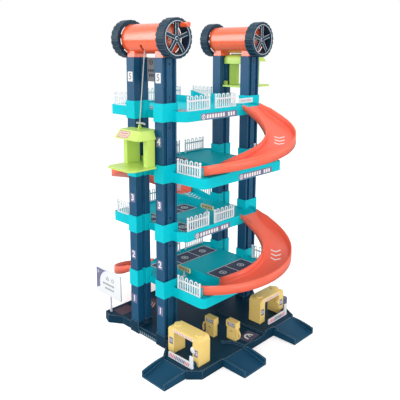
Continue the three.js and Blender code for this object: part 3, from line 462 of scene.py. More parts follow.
sweep_tree.is_modifier = True
sweep_in = step(sweep_tree, "NodeGroupInput").outputs
path_line = step(sweep_tree, "GeometryNodeMeshToCurve", {"Mesh": sweep_in["Path"]})
even = step(sweep_tree, "GeometryNodeResampleCurve", {
    "Curve": path_line.outputs["Curve"], "Count": sweep_in["Stations"],
})
upright = step(sweep_tree, "GeometryNodeSetCurveNormal", {"Curve": even.outputs["Curve"]},
               mode="Z_UP")
travel = step(sweep_tree, "GeometryNodeSplineParameter")
kept = step(sweep_tree, "GeometryNodeCaptureAttribute", {"Geometry": upright.outputs["Curve"]})
kept.capture_items.new("FLOAT", "Share")
kept.capture_items.new("FLOAT", "Length")
sweep_tree.links.new(travel.outputs["Factor"], kept.inputs["Share"])
sweep_tree.links.new(travel.outputs["Length"], kept.inputs["Length"])
channel_part = step(sweep_tree, "GeometryNodeObjectInfo", {"Object": sweep_in["Channel"]})
channel_line = step(sweep_tree, "GeometryNodeMeshToCurve", {"Mesh": channel_part.outputs["Geometry"]})
swept = step(sweep_tree, "GeometryNodeCurveToMesh", {
    "Curve": kept.outputs["Geometry"], "Profile Curve": channel_line.outputs["Curve"],
    "Fill Caps": True,
})
print("tree started:", sweep_tree.name)

# %% [markdown]
# The rule for the height is the one that the solid follows: the share of the way,
# multiplied by one plus the steepness times the square of what is left. All four trees
# end alike, with plain geometry in its finish, so one helper does that for them.

# %% Geometry Nodes: the rule for the height
def sums(tree, operation, first, second, third=None):
    """One step of arithmetic, and its result."""
    inputs = {0: first, 1: second}
    if third is not None:
        inputs[2] = third
    return step(tree, "ShaderNodeMath", inputs, operation=operation).outputs["Value"]


def end_tree(tree, geometry, finish, output):
    """Makes copies real, gives all of it the finish, and leaves the tree by that output."""
    plain = step(tree, "GeometryNodeRealizeInstances", {"Geometry": geometry})
    done = step(tree, "GeometryNodeSetMaterial", {
        "Geometry": plain.outputs["Geometry"], "Material": finish,
    })
    step(tree, "NodeGroupOutput", {output: done.outputs["Geometry"]})


share = kept.outputs["Share"]
left_over = sums(sweep_tree, "SUBTRACT", 1.0, share)
squared = sums(sweep_tree, "MULTIPLY", left_over, left_over)
steeper = sums(sweep_tree, "MULTIPLY_ADD", squared, sweep_in["Steep"], 1.0)
eased = sums(sweep_tree, "MULTIPLY", steeper, share)
fall = sums(sweep_tree, "SUBTRACT", sweep_in["Bottom"], sweep_in["Top"])
floor_height = sums(sweep_tree, "MULTIPLY_ADD", eased, fall, sweep_in["Top"])
grown = sums(sweep_tree, "DIVIDE", kept.outputs["Length"], sweep_in["Rise"])
wall_share = step(sweep_tree, "ShaderNodeMapRange", {
    "Value": grown, "To Min": sweep_in["Mouth Share"],
})
here = step(sweep_tree, "GeometryNodeInputPosition")
apart = step(sweep_tree, "ShaderNodeSeparateXYZ", {"Vector": here.outputs["Position"]})
above_floor = sums(sweep_tree, "MAXIMUM", apart.outputs["Z"], 0.0)
below_floor = sums(sweep_tree, "MINIMUM", apart.outputs["Z"], 0.0)
scaled_wall = sums(sweep_tree, "MULTIPLY", above_floor, wall_share.outputs["Result"])
lifted = sums(sweep_tree, "ADD", scaled_wall, below_floor)
height = sums(sweep_tree, "ADD", lifted, floor_height)
together = step(sweep_tree, "ShaderNodeCombineXYZ", {
    "X": apart.outputs["X"], "Y": apart.outputs["Y"], "Z": height,
})
lowered = step(sweep_tree, "GeometryNodeSetPosition", {
    "Geometry": swept.outputs["Mesh"], "Position": together.outputs["Vector"],
})
end_tree(sweep_tree, lowered.outputs["Geometry"], sweep_in["Finish"], "Ramp")
print("tree made:", sweep_tree.name)

# %% [markdown]
# A tree's inputs are set on the modifier by their identifiers, before the object is
# looked at for the first time. Then the result is turned into a plain mesh.

# %% Helpers: run a tree and keep the mesh
def put_tree_on(host, tree, values):
    """Puts the tree on an object, with its inputs set by their identifiers."""
    modifier = host.modifiers.new("nodes", "NODES")
    modifier.node_group = tree
    for item in tree.interface.items_tree:
        if item.item_type == "SOCKET" and item.in_out == "INPUT" and item.name in values:
            modifier[item.identifier] = values[item.name]


def run_tree(tree, mesh, name, values, body):
    """Runs the tree on the mesh and gives back its result as a plain piece on that body."""
    host = new_object(name + "_host", mesh)
    put_tree_on(host, tree, values)
    piece = new_object(name, as_final_mesh(host, name))
    bpy.data.objects.remove(host)
    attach(piece, body)
    return piece


def line_mesh(name, points, closed=False):
    """A mesh of points joined by edges, in millimetres."""
    edges = [(i, i + 1) for i in range(len(points) - 1)]
    if closed:
        edges.append((len(points) - 1, 0))
    mesh = bpy.data.meshes.new(name)
    mesh.from_pydata([Vector(point) * MM for point in points], edges, [])
    return mesh

# %% [markdown]
# The channel is drawn with its height along -Y, because the sweep turns the drawing's
# Y axis downwards. The ramps of the third and fifth deck leave to the front, and those
# of the second and fourth deck are the same ramps turned by half a turn.

# %% The four curved ramps
FRONT_DECKS = "35"
FILLET_ANGLES = (0.0, 22.5, 45.0, 67.5, 90.0)
PATH_STEPS = 64
RAMP_STATIONS = 97


def deck_sign(level):
    """1 for a deck whose ramp leaves to the front, and -1 for one turned by half a turn."""
    return 1 if level in FRONT_DECKS else -1


def deck_turn(level):
    """The turn of a deck about the middle of the garage."""
    return Matrix.Rotation(0.0 if level in FRONT_DECKS else HALF_TURN, 4, "Z")


def channel_points():
    """The closed outline of the channel: across, and height drawn downwards."""
    half = RAMP["width"] / 2
    inner = half - RAMP["wall"]
    fillet = RAMP["fillet"]
    corner = [math.radians(angle) for angle in FILLET_ANGLES]
    right = [(inner - fillet + fillet * math.sin(a), fillet - fillet * math.cos(a)) for a in corner]
    left = [(-x, z) for x, z in reversed(right)]
    top = RAMP["wall_height"]
    outline = [
        (-half, -RAMP["floor"]), (half, -RAMP["floor"]), (half, top), (inner, top),
        *reversed(right), *reversed(left), (-inner, top), (-half, top),
    ]
    return [(x, -z, 0.0) for x, z in outline]


def ramp_path(sign):
    """The way of the middle of the channel, seen from above."""
    radius = RAMP["outer"] - RAMP["width"] / 2
    points = [(radius, -RAMP["front"]), (radius, -RAMP["centre"])]
    for i in range(1, PATH_STEPS + 1):
        angle = HALF_TURN * i / PATH_STEPS
        points.append((radius * math.cos(angle), -RAMP["centre"] - radius * math.sin(angle)))
    return [(sign * x, sign * y, 0.0) for x, y in points]


channel = new_object("channel_outline", line_mesh("channel_outline", channel_points(), closed=True))
for level, rim in DECK_RIMS.items():
    path = line_mesh("path", ramp_path(deck_sign(level)))
    ramp = run_tree(sweep_tree, path, "ramp_skin_" + level, {
        "Channel": channel, "Stations": RAMP_STATIONS,
        "Top": (rim + RAMP["top"]) * MM, "Bottom": (rim + RAMP["bottom"]) * MM,
        "Steep": RAMP["steep"], "Mouth Share": RAMP["mouth_wall"] / RAMP["wall_height"],
        "Rise": RAMP["rise"] * MM, "Finish": coral,
    }, "garage")
    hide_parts("curved_ramp_" + level)
    low = [min(vertex.co[i] for vertex in ramp.data.vertices) for i in range(3)]
    high = [max(vertex.co[i] for vertex in ramp.data.vertices) for i in range(3)]
    print(ramp.name, [round(v / MM, 1) for v in low], [round(v / MM, 1) for v in high])
bpy.data.objects.remove(channel)

# %% [markdown]
# Small parts are drawn flat and then stood on a face of the garage. A place is a matrix:
# its first two axes lie in the face, and the third points out of it.

# %% Helpers: places, plates and turned parts
AXES = {"left": (-1, 0, 0), "right": (1, 0, 0), "front": (0, -1, 0), "back": (0, 1, 0), "top": (0, 0, 1)}


def axes_of(across, up, out):
    """The turn of a place that has those three axes."""
    return Matrix((across, up, out)).transposed().to_4x4()


def place_on(side, at, turn=0.0):
    """A place on a face that looks to that side, turned in its own plane by degrees."""
    out = Vector(AXES[side])
    up = Vector((0, 1, 0)) if side == "top" else Vector((0, 0, 1))
    across = up.cross(out)
    turned = Matrix.Rotation(math.radians(turn), 4, "Z")
    return Matrix.Translation(at) @ axes_of(across, up, out) @ turned


def plate(outline, low, high, at):
    """A flat plate with that outline, from one height to another over its place."""
    count = len(outline)
    points = [at @ Vector((x, y, level)) for level in (low, high) for x, y in outline]
    faces = [tuple(reversed(range(count))), tuple(range(count, 2 * count))]
    faces += [(i, (i + 1) % count, count + (i + 1) % count, count + i) for i in range(count)]
    return points, faces


def turned_part(profile, at, segments=16):
    """A part turned on a lathe: (radius, height) pairs, closed at both ends."""
    points, faces = [], []
    for radius, level in profile:
        for i in range(segments):
            angle = 2 * math.pi * i / segments
            points.append(at @ Vector((radius * math.cos(angle), radius * math.sin(angle), level)))
    for row in range(len(profile) - 1):
        for i in range(segments):
            a, b = row * segments + i, row * segments + (i + 1) % segments
            faces.append((a, b, b + segments, a + segments))
    faces.append(tuple(reversed(range(segments))))
    faces.append(tuple(range(len(points) - segments, len(points))))
    return points, faces


def parts_mesh(name, parts, material=None):
    """One mesh from several parts in millimetres, smooth over small angles."""
    points, faces = [], []
    for part_points, part_faces in parts:
        start = len(points)
        points += [Vector(point) * MM for point in part_points]
        faces += [tuple(start + index for index in face) for face in part_faces]
    mesh = bpy.data.meshes.new(name)
    mesh.from_pydata(points, [], faces)
    mesh.update()
    mesh.shade_smooth()
    mesh.set_sharp_from_angle(angle=SMOOTH_ANGLE)
    if material:
        mesh.materials.append(material)
    return mesh


def rounded_box(half_x, half_y, radius, steps=4):
    """The outline of a rectangle with rounded corners, centred."""
    outline = []
    for corner, (sx, sy) in enumerate(((1, 1), (-1, 1), (-1, -1), (1, -1))):
        for i in range(steps + 1):
            angle = math.radians(QUARTER_DEGREES * (corner + i / steps))
            outline.append((sx * (half_x - radius) + radius * math.cos(angle),
                            sy * (half_y - radius) + radius * math.sin(angle)))
    return outline


def strip(start, end, half):
    """The outline of a straight strip between two points."""
    along = Vector(end) - Vector(start)
    side = Vector((-along.y, along.x)).normalized() * half
    a, b = Vector(start), Vector(end)
    return [tuple(a - side), tuple(b - side), tuple(b + side), tuple(a + side)]

# %% [markdown]
# Two small trees repeat a part. One sets copies in a straight row, as the uprights of a
# fence stand. The other turns copies about an axis, as the spokes of a wheel stand.

# %% Geometry Nodes: rows and rings
row_tree = group_tree("row_of_parts", "GeometryNodeTree", [
    ("Part", "INPUT", OBJECT, None),
    ("Count", "INPUT", INTEGER, 2),
    ("Start", "INPUT", VECTOR, None),
    ("Step", "INPUT", VECTOR, None),
    ("Finish", "INPUT", MATERIAL, None),
    ("Row", "OUTPUT", GEOMETRY, None),
])
row_tree.is_modifier = True
row_in = step(row_tree, "NodeGroupInput").outputs
row_line = step(row_tree, "GeometryNodeMeshLine", {
    "Count": row_in["Count"], "Start Location": row_in["Start"], "Offset": row_in["Step"],
}, mode="OFFSET")
row_part = step(row_tree, "GeometryNodeObjectInfo", {"Object": row_in["Part"]})
row_copies = step(row_tree, "GeometryNodeInstanceOnPoints", {
    "Points": row_line.outputs["Mesh"], "Instance": row_part.outputs["Geometry"],
})
end_tree(row_tree, row_copies.outputs["Instances"], row_in["Finish"], "Row")

ring_tree = group_tree("ring_of_parts", "GeometryNodeTree", [
    ("Part", "INPUT", OBJECT, None),
    ("Count", "INPUT", INTEGER, 5),
    ("Finish", "INPUT", MATERIAL, None),
    ("Ring", "OUTPUT", GEOMETRY, None),
])
ring_tree.is_modifier = True
ring_in = step(ring_tree, "NodeGroupInput").outputs
ring_points = step(ring_tree, "GeometryNodePoints", {"Count": ring_in["Count"]})
ring_index = step(ring_tree, "GeometryNodeInputIndex")
ring_pitch = sums(ring_tree, "DIVIDE", 2 * math.pi, ring_in["Count"])
ring_angle = sums(ring_tree, "MULTIPLY", ring_index.outputs["Index"], ring_pitch)
ring_turn = step(ring_tree, "ShaderNodeCombineXYZ", {"Z": ring_angle})
ring_part = step(ring_tree, "GeometryNodeObjectInfo", {"Object": ring_in["Part"]})
ring_copies = step(ring_tree, "GeometryNodeInstanceOnPoints", {
    "Points": ring_points.outputs["Points"], "Instance": ring_part.outputs["Geometry"],
    "Rotation": ring_turn.outputs["Vector"],
})
end_tree(ring_tree, ring_copies.outputs["Instances"], ring_in["Finish"], "Ring")
print("trees made:", row_tree.name, ring_tree.name)

# %% [markdown]
# A part is drawn once around the origin and then repeated. The host has an empty mesh,
# and the tree puts the copies into it. Several such meshes make one piece, and each of
# them keeps its own finish.

# %% Helpers: repeat a part and join meshes
def move_mesh(mesh, at):
    """Moves a mesh in metres to a place in millimetres."""
    moved = at.copy()
    moved.translation *= MM
    mesh.transform(moved)


def row_from(start, count, pitch):
    """The values of a row of copies along X, with its first copy at the start."""
    return {"Count": count, "Start": (start * MM, 0.0, 0.0), "Step": (pitch * MM, 0.0, 0.0)}


def centred_row(count, pitch):
    """The values of a row of copies along X, with its middle at its place."""
    return row_from(-pitch * (count - 1) / 2, count, pitch)


def repeated(name, tree, parts, values, material, at=None):
    """The mesh of a part repeated by one of the trees, moved to its place."""
    part = new_object("part", parts_mesh("part", parts, material))
    host = new_object("host", bpy.data.meshes.new("host"))
    put_tree_on(host, tree, {"Part": part, "Finish": material, **values})
    mesh = as_final_mesh(host, name)
    if at is not None:
        move_mesh(mesh, at)
    bpy.data.objects.remove(host)
    bpy.data.objects.remove(part)
    return mesh


def joined_piece(name, meshes, body):
    """One piece from several meshes with a finish each, riding on that body."""
    finishes = []
    work = bmesh.new()
    for mesh in meshes:
        if mesh.materials[0] not in finishes:
            finishes.append(mesh.materials[0])
        old_faces = len(work.faces)
        work.from_mesh(mesh)
        for face in list(work.faces)[old_faces:]:
            face.material_index = finishes.index(mesh.materials[0])
    whole = bpy.data.meshes.new(name)
    work.to_mesh(whole)
    work.free()
    for finish in finishes:
        whole.materials.append(finish)
    piece = new_object(name, whole)
    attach(piece, body)
    return piece

# %% [markdown]
# A fence panel has two turned posts with a ball on top, two rails and eight thin
# uprights. Above the upper rail, round hoops join the uprights in pairs.
# Every panel is the same moulding, so one mesh is drawn once and copied to each place.
# The post's tables hold shares of its half width, each with a height over the floor or
# a depth below the ball.

# %% The picket fence moulding
FENCE = {
    "length": 50.0, "height": 26.0, "thick": 1.6, "uprights": 8, "upright": 1.7, "upright_inset": 0.1,
    "hoops": 4, "hoop": 1.5, "hoop_inset": 0.2, "hoop_steps": 10, "low_rail": (2.2, 4.6),
    "high_rail": (16.6, 19.2), "post": 3.4, "post_sides": 12, "ball": 2.1,
}
BALL_ANGLES = (30, 55, 80, 105, 130, 155, 176)
POST_FOOT = ((0.8, 0.4), (1.0, 1.0))
POST_COLLAR = ((1.0, 2.6), (1.2, 2.2), (1.2, 1.2), (0.65, 0.4))
POST_MIDDLE = (FENCE["length"] - FENCE["post"]) / 2
UPRIGHT_PITCH = 2 * POST_MIDDLE / (FENCE["uprights"] + 1)


def hoop_outline():
    """A round hoop that stands on the upper rail, drawn around the middle of a pair of uprights."""
    outer = (UPRIGHT_PITCH + FENCE["hoop"]) / 2
    inner = outer - FENCE["hoop"]
    middle, foot = FENCE["height"] - outer, FENCE["high_rail"][0]
    steps = FENCE["hoop_steps"]
    turns = [math.radians(2 * QUARTER_DEGREES * i / steps) for i in range(steps + 1)]
    outline = [(outer, foot)] + [(outer * math.cos(t), middle + outer * math.sin(t)) for t in turns]
    outline += [(-outer, foot), (-inner, foot)]
    outline += [(inner * math.cos(t), middle + inner * math.sin(t)) for t in reversed(turns)]
    return outline + [(inner, foot)]


def post_profile():
    """The turned end post: a foot, a collar under the ball, and the ball."""
    half, ball = FENCE["post"] / 2, FENCE["ball"]
    neck = FENCE["height"] - 2 * ball
    turns = [math.radians(angle) for angle in BALL_ANGLES]
    round_top = [(ball * math.sin(t), neck + ball - ball * math.cos(t)) for t in turns]
    foot = [(half * share, level) for share, level in POST_FOOT]
    collar = [(half * share, neck - depth) for share, depth in POST_COLLAR]
    return [*foot, *collar, *round_top]


def upright_band(low, high, half):
    """The outline of a rectangle around the middle, from one height to another."""
    return [(-half, low), (half, low), (half, high), (-half, high)]


def fence_row(name, part, count, pitch):
    """A row of one part of the fence, centred on the panel."""
    return repeated(name, row_tree, [part], centred_row(count, pitch), white)


def fence_meshes():
    """The meshes of one panel, standing on the floor along X, in the middle of its length."""
    stood = place_on("front", (0, FENCE["thick"] / 2, 0))
    low, high, thick = FENCE["low_rail"], FENCE["high_rail"], FENCE["thick"]
    upright_outline = upright_band(low[0], high[1], FENCE["upright"] / 2)
    upright = plate(upright_outline, FENCE["upright_inset"], thick - FENCE["upright_inset"], stood)
    hoop = plate(hoop_outline(), FENCE["hoop_inset"], thick - FENCE["hoop_inset"], stood)
    rail = plate(upright_band(low[0], low[1], POST_MIDDLE), 0.0, thick, stood)
    rails = repeated("rails", row_tree, [rail], {
        "Count": 2, "Start": (0.0, 0.0, 0.0), "Step": (0.0, 0.0, (high[0] - low[0]) * MM),
    }, white)
    post = turned_part(post_profile(), Matrix.Identity(4), FENCE["post_sides"])
    return [
        fence_row("uprights", upright, FENCE["uprights"], UPRIGHT_PITCH),
        fence_row("hoops", hoop, FENCE["hoops"], 2 * UPRIGHT_PITCH),
        rails, fence_row("posts", post, 2, 2 * POST_MIDDLE),
    ]


panel = fence_meshes()
print("one panel has", sum(len(mesh.polygons) for mesh in panel), "faces")

# %% [markdown]
# Six panels stand where the solids are. The others are at the back and the far sides,
# where the solids leave them out.

# %% All the fence panels
EDGE_INSET = 2.3
SEAT = EDGE_INSET + FENCE["thick"] / 2
DECK_EDGES = {"left": 97.0, "back": 110.0, "front": 66.5}
LEFT_X, BACK_Y, FRONT_Y = [DECK_EDGES[side] - SEAT for side in ("left", "back", "front")]
SIDE_Y = 76.0
FENCES = {
    "fence_3_left": ("3", -60.0, -FRONT_Y, 0), "fence_3_right": ("3", 2.0, -FRONT_Y, 0),
    "fence_5_left": ("5", -60.0, -FRONT_Y, 0), "fence_5_right": ("5", 2.0, -FRONT_Y, 0),
    "fence_2_side": ("2", -LEFT_X, -SIDE_Y, 90), "fence_4_side": ("4", -LEFT_X, -SIDE_Y, 90),
    "fence_3_far_left": ("3", -LEFT_X, SIDE_Y, 90), "fence_5_far_left": ("5", -LEFT_X, SIDE_Y, 90),
    "fence_3_right_side": ("3", LEFT_X, SIDE_Y, 90), "fence_5_right_side": ("5", LEFT_X, SIDE_Y, 90),
    "fence_3_back": ("3", -20.0, BACK_Y, 0), "fence_5_back": ("5", -20.0, BACK_Y, 0),
    "fence_5_back_right": ("5", 42.0, BACK_Y, 0), "fence_3_back_right": ("3", 42.0, BACK_Y, 0),
    "fence_4_back": ("4", 60.0, FRONT_Y, 0), "fence_4_back_left": ("4", -2.0, FRONT_Y, 0),
    "fence_2_back": ("2", 60.0, FRONT_Y, 0), "fence_2_back_left": ("2", -2.0, FRONT_Y, 0),
    "fence_2_far_right": ("2", LEFT_X, -SIDE_Y, 90), "fence_4_far_right": ("4", LEFT_X, -SIDE_Y, 90),
}
for name, (level, x, y, turn) in FENCES.items():
    fence = joined_piece(name + "_panel", panel, "garage")
    lift = DECK_RIMS[level] - DECK_FLOOR_BELOW_RIM
    moved = Matrix.Translation(Vector((x, y, lift)) * MM) @ Matrix.Rotation(math.radians(turn), 4, "Z")
    fence.data.transform(moved)
    if name in frame["nodes"]:
        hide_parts(name)
print("fence panels:", len(FENCES))

# %% [markdown]
# Each column is screwed together from two halves. A small crosshead screw sits in a low
# ring near both ends of every segment, on the rib at the outside. Its head is nearly
# black, painted shade for the shade in the screw's hole.

# %% Screws in the columns
# Nearly black: painted shade on the screw heads.
shaded_screw = moulded_plastic("screw_in_painted_shade", (0.012, 0.014, 0.020), (0.008, 0.009, 0.014),
                        (0.07, 0.08, 0.10), 0.62, rub_and_highlight=0.2, edge=0.0001, shine=0.3)
shaded_screw.node_tree.nodes["Principled BSDF"].inputs["Metallic"].default_value = 0.5
SCREW = {"ring": 2.1, "hole": 1.7, "head": 1.6, "proud": 0.12, "slot": 0.24, "from_sleeve": 9.0,
         "cross_share": 0.75, "cross_top": 0.14, "sides": 12}
SCREW_DOME = ((1.0, -0.2), (1.0, 0.02), (0.8, 0.08))
FOOT_TOP = 20.5
HERE = Matrix.Identity(4)


def open_ring(inner, outer, low, high, at, segments=20):
    """A flat ring, closed all round, with no disc in the middle."""
    profile = [(inner, low), (outer, low), (outer, high), (inner, high), (inner, low)]
    points, faces = turned_part(profile, at, segments)
    return points, faces[:-2]


def column_screws():
    """The lowest and highest screw of each segment, clear of the sleeves."""
    bottoms = [FOOT_TOP] + [rim + SLEEVE_ABOVE for rim in DECK_RIMS.values()]
    tops = [rim - SLEEVE_BELOW for rim in DECK_RIMS.values()] + [COLUMN_TOP]
    inset = SCREW["from_sleeve"]
    return [(low + inset, high - inset) for low, high in zip(bottoms, tops)]


screw_ring = [open_ring(SCREW["hole"], SCREW["ring"], -SCREW["proud"], SCREW["proud"], HERE)]
cross = SCREW["head"] * SCREW["cross_share"]
dome = [(SCREW["head"] * share, level) for share, level in SCREW_DOME]
screw_head = [turned_part(dome, HERE, SCREW["sides"])]
for x, y in ((cross, 0), (0, cross)):
    slot_outline = strip((-x, -y), (x, y), SCREW["slot"])
    screw_head.append(plate(slot_outline, 0.0, SCREW["cross_top"], HERE))
rings, heads = [], []
for x in (-TOWER_X, TOWER_X):
    for side, y in (("front", -COLUMN_Y - COLUMN_HALF_Y), ("back", COLUMN_Y + COLUMN_HALF_Y)):
        for low, high in column_screws():
            values = {"Count": 2, "Start": (0.0, 0.0, 0.0), "Step": (0.0, (high - low) * MM, 0.0)}
            at = place_on(side, (x, y, low))
            rings.append(repeated("ring", row_tree, screw_ring, values, navy, at))
            heads.append(repeated("head", row_tree, screw_head, values, shaded_screw, at))
joined_piece("column_screw_rings", rings, "garage")
joined_piece("column_screw_heads", heads, "garage")
print("screws:", 2 * len(heads))

# %% [markdown]
# The wheels carry a bright ring and bright lines along the edges of their five spokes.
# This brightness is painted highlight, for the light that the rounded rim and spoke
# edges catch. It is thin trim on top of the moulded wheel, and a small dark cap in a
# thin bright ring, also painted highlight, sits in the middle.

# %% Painted highlights on the four wheels
# A pale grey finish that paints the highlights of the wheel edges.
highlight_trim = moulded_plastic("painted_edge_highlight", (0.66, 0.72, 0.78), (0.52, 0.58, 0.66),
                         (0.86, 0.90, 0.92), 0.30, rub_and_highlight=0.3, edge=0.0002)
WHEEL = {"face": 59.8, "recess": 2.0, "rim": 23.2, "rim_gap": 0.4, "spokes": 5, "spoke_half": 2.8,
         "near_share": 0.9, "spoke_start": 4.6, "line": 0.26, "under": 0.2, "over": 0.3,
         "ring": 0.8, "ring_gap": 1.1, "ring_under": -0.4, "ring_over": 0.35, "ring_sides": 72,
         "hub": (2.2, 2.5), "hub_sides": 20}
CAP = ((2.2, -0.2), (2.2, 0.5), (1.5, 0.8), (0.4, 0.9))
WHEELS = {
    "crank_wheel_a": (-TOWER_X, "front", "crank_a"), "far_wheel_a": (-TOWER_X, "back", "crank_a"),
    "crank_wheel_b": (TOWER_X, "back", "crank_b"), "far_wheel_b": (TOWER_X, "front", "crank_b"),
}


def wheel_trim(x, side):
    """The ring and the lines of the spokes of one wheel."""
    y = WHEEL["face"] * (-1 if side == "front" else 1)
    at = place_on(side, (x, y, DRUM_AXIS))
    face = -WHEEL["recess"]
    low, high = face - WHEEL["under"], face + WHEEL["over"]
    lines = []
    for sign in (-1, 1):
        near = (sign * WHEEL["spoke_half"] * WHEEL["near_share"], WHEEL["spoke_start"])
        far = (sign * (WHEEL["spoke_half"] - WHEEL["line"]), WHEEL["rim"] - WHEEL["rim_gap"])
        lines.append(plate(strip(near, far, WHEEL["line"]), low, high, HERE))
    spokes = repeated("spokes", ring_tree, lines, {"Count": WHEEL["spokes"]}, highlight_trim, at)
    inner = WHEEL["rim"] + WHEEL["ring_gap"]
    ring_part = open_ring(inner, inner + WHEEL["ring"], WHEEL["ring_under"], WHEEL["ring_over"],
                          at, WHEEL["ring_sides"])
    ring = parts_mesh("ring", [ring_part], highlight_trim)
    hub = parts_mesh("hub", [open_ring(*WHEEL["hub"], low, high, at, WHEEL["hub_sides"])], highlight_trim)
    cap_profile = [(radius, face + level) for radius, level in CAP]
    cap = parts_mesh("cap", [turned_part(cap_profile, at, WHEEL["hub_sides"])], wheel_dark)
    return [spokes, ring, hub, cap]


for name, (x, side, body) in WHEELS.items():
    joined_piece(name + "_trim", wheel_trim(x, side), body)
print("wheels trimmed:", len(WHEELS))

# %% [markdown]
# The knobs end in a shallow cup: a raised lip, with a small dark dot in the middle.
# Their widths are shares of the knob's radius, which is measured on the solid.

# %% Cups of the winding knobs
CUP = {"lip_shares": (0.62, 0.97), "lip_under": -0.3, "lip_over": 0.6, "lip_sides": 28, "dot_sides": 20}
CUP_DOT = ((0.1, 0.02), (0.2, 0.05), (0.1, 0.1))
for tower, side in (("a", "front"), ("b", "back")):
    low, high = [[v / MM for v in corner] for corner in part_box("crank_knob_" + tower)]
    end_y = low[1] if side == "front" else high[1]
    radius = (high[0] - low[0]) / 2
    at = place_on(side, ((low[0] + high[0]) / 2, end_y, (low[2] + high[2]) / 2))
    inner, outer = [radius * share for share in CUP["lip_shares"]]
    lip_part = open_ring(inner, outer, CUP["lip_under"], CUP["lip_over"], at, CUP["lip_sides"])
    lip = parts_mesh("lip", [lip_part], orange)
    dot_profile = [(radius * share, level) for share, level in CUP_DOT]
    dark = parts_mesh("cup", [turned_part(dot_profile, at, CUP["dot_sides"])], wheel_dark)
    joined_piece("knob_cup_" + tower, [lip, dark], "knob_" + tower)
print("knob radius", round(radius, 2), "mm")

# %% [markdown]
# The stickers are thin vinyl film. Their ink lies in fine dots, and faint scuffs run
# across them in one direction.

# %% Shader group: printed film
film_tree = group_tree("printed_film", "ShaderNodeTree", [
    ("Ink", "INPUT", COLOUR, (0.5, 0.5, 0.5, 1.0)),
    ("Roughness", "INPUT", FLOAT, 0.35),
    ("Dot Scale", "INPUT", FLOAT, 2600.0),
    ("Scuff Scale", "INPUT", FLOAT, 240.0),
    ("Colour", "OUTPUT", COLOUR, None),
    ("Roughness", "OUTPUT", FLOAT, None),
    ("Height", "OUTPUT", FLOAT, None),
])
film_in = step(film_tree, "NodeGroupInput").outputs
film_place = step(film_tree, "ShaderNodeTexCoord").outputs["Object"]
dots = step(film_tree, "ShaderNodeTexVoronoi", {"Vector": film_place, "Scale": film_in["Dot Scale"]})
dot_mask = step(film_tree, "ShaderNodeMapRange", {
    "Value": dots.outputs["Distance"], "From Min": 0.25, "From Max": 0.6, "To Max": 0.10,
})
dotted = step(film_tree, "ShaderNodeMix", {
    0: dot_mask.outputs["Result"], 6: film_in["Ink"], 7: (0.9, 0.9, 0.9, 1.0),
}, data_type="RGBA")
stretched = step(film_tree, "ShaderNodeMapping", {"Vector": film_place, "Scale": (1.0, 0.12, 1.0)})
scuffs = step(film_tree, "ShaderNodeTexNoise", {
    "Vector": stretched.outputs["Vector"], "Scale": film_in["Scuff Scale"], "Detail": 4.0,
})
scuff_mask = step(film_tree, "ShaderNodeMapRange", {
    "Value": scuffs.outputs["Fac"], "From Min": 0.55, "From Max": 0.75, "To Max": 0.22,
})
film_gloss = step(film_tree, "ShaderNodeMath", {
    0: scuff_mask.outputs["Result"], 1: film_in["Roughness"],
}, operation="ADD", use_clamp=True)
step(film_tree, "NodeGroupOutput", {
    "Colour": dotted.outputs[2], "Roughness": film_gloss.outputs["Value"],
    "Height": scuffs.outputs["Fac"],
})
print("group made:", film_tree.name)

# %% [markdown]
# Each sticker ink is the same film with another colour. The dark sheets are duller,
# because a shiny dark sheet would mirror the white room and look grey.

# %% Materials of the stickers
INK_DEPTH = 0.00001


def printed(name, ink_colour, gloss=0.42, shine=0.3):
    """A printed film in that ink."""
    material, tree, shader = new_material(name)
    print_look = step(tree, "ShaderNodeGroup", node_tree=film_tree)
    print_look.inputs["Ink"].default_value = (*ink_colour, 1.0)
    print_look.inputs["Roughness"].default_value = gloss
    shader.inputs["Specular IOR Level"].default_value = shine
    relief = step(tree, "ShaderNodeBump", {"Height": print_look.outputs["Height"], "Distance": INK_DEPTH})
    tree.links.new(print_look.outputs["Colour"], shader.inputs["Base Color"])
    tree.links.new(print_look.outputs["Roughness"], shader.inputs["Roughness"])
    tree.links.new(relief.outputs["Normal"], shader.inputs["Normal"])
    material.diffuse_color = (*ink_colour, 1.0)
    return material


slate_film = printed("slate_film", (0.115, 0.125, 0.26))
bay_film = printed("bay_film", (0.030, 0.034, 0.098), 0.55, 0.12)
white_film = printed("white_film", (0.80, 0.80, 0.80))
white_ink = printed("white_ink", (0.84, 0.84, 0.84))
grey_film = printed("grey_film", (0.22, 0.23, 0.24))
pale_grey_film = printed("pale_grey_film", (0.30, 0.30, 0.32))
dark_ink = printed("dark_ink", (0.022, 0.026, 0.05))
yellow_film = printed("yellow_film", (0.98, 0.80, 0.36))
pink_ink = printed("pink_ink", (0.74, 0.16, 0.24))
pink_film = printed("pink_film", (0.80, 0.52, 0.44))
brown_ink = printed("brown_ink", (0.20, 0.09, 0.06))
maroon_film = printed("maroon_film", (0.050, 0.016, 0.045), 0.55, 0.12)
print("films:", len([m for m in bpy.data.materials if m.name.endswith(("_film", "_ink"))]))

# %% [markdown]
# A sticker lies a fifth of a millimetre proud of its face, and its ink a little more,
# so that the two never fight for the same place.

# %% Helpers: films, marks and numbers
FILM = {"under": -0.1, "film": 0.18, "ink": 0.28}
RING_SIDES = 24
SMALL_STEPS = 2
BLOCK_CORNER = 0.5


def film(outline, at):
    """A sticker's sheet on its face."""
    return plate(outline, FILM["under"], FILM["film"], at)


def mark(outline, at):
    """A printed mark, a little higher than the sheet."""
    return plate(outline, FILM["under"], FILM["ink"], at)


def shifted(at, across, up, turn=0.0):
    """The same face, moved along it and turned in its plane."""
    return at @ Matrix.Translation((across, up, 0.0)) @ Matrix.Rotation(math.radians(turn), 4, "Z")


def ring_mark(radius, width, at):
    """A printed ring."""
    return open_ring(radius - width, radius, FILM["under"], FILM["ink"], at, RING_SIDES)


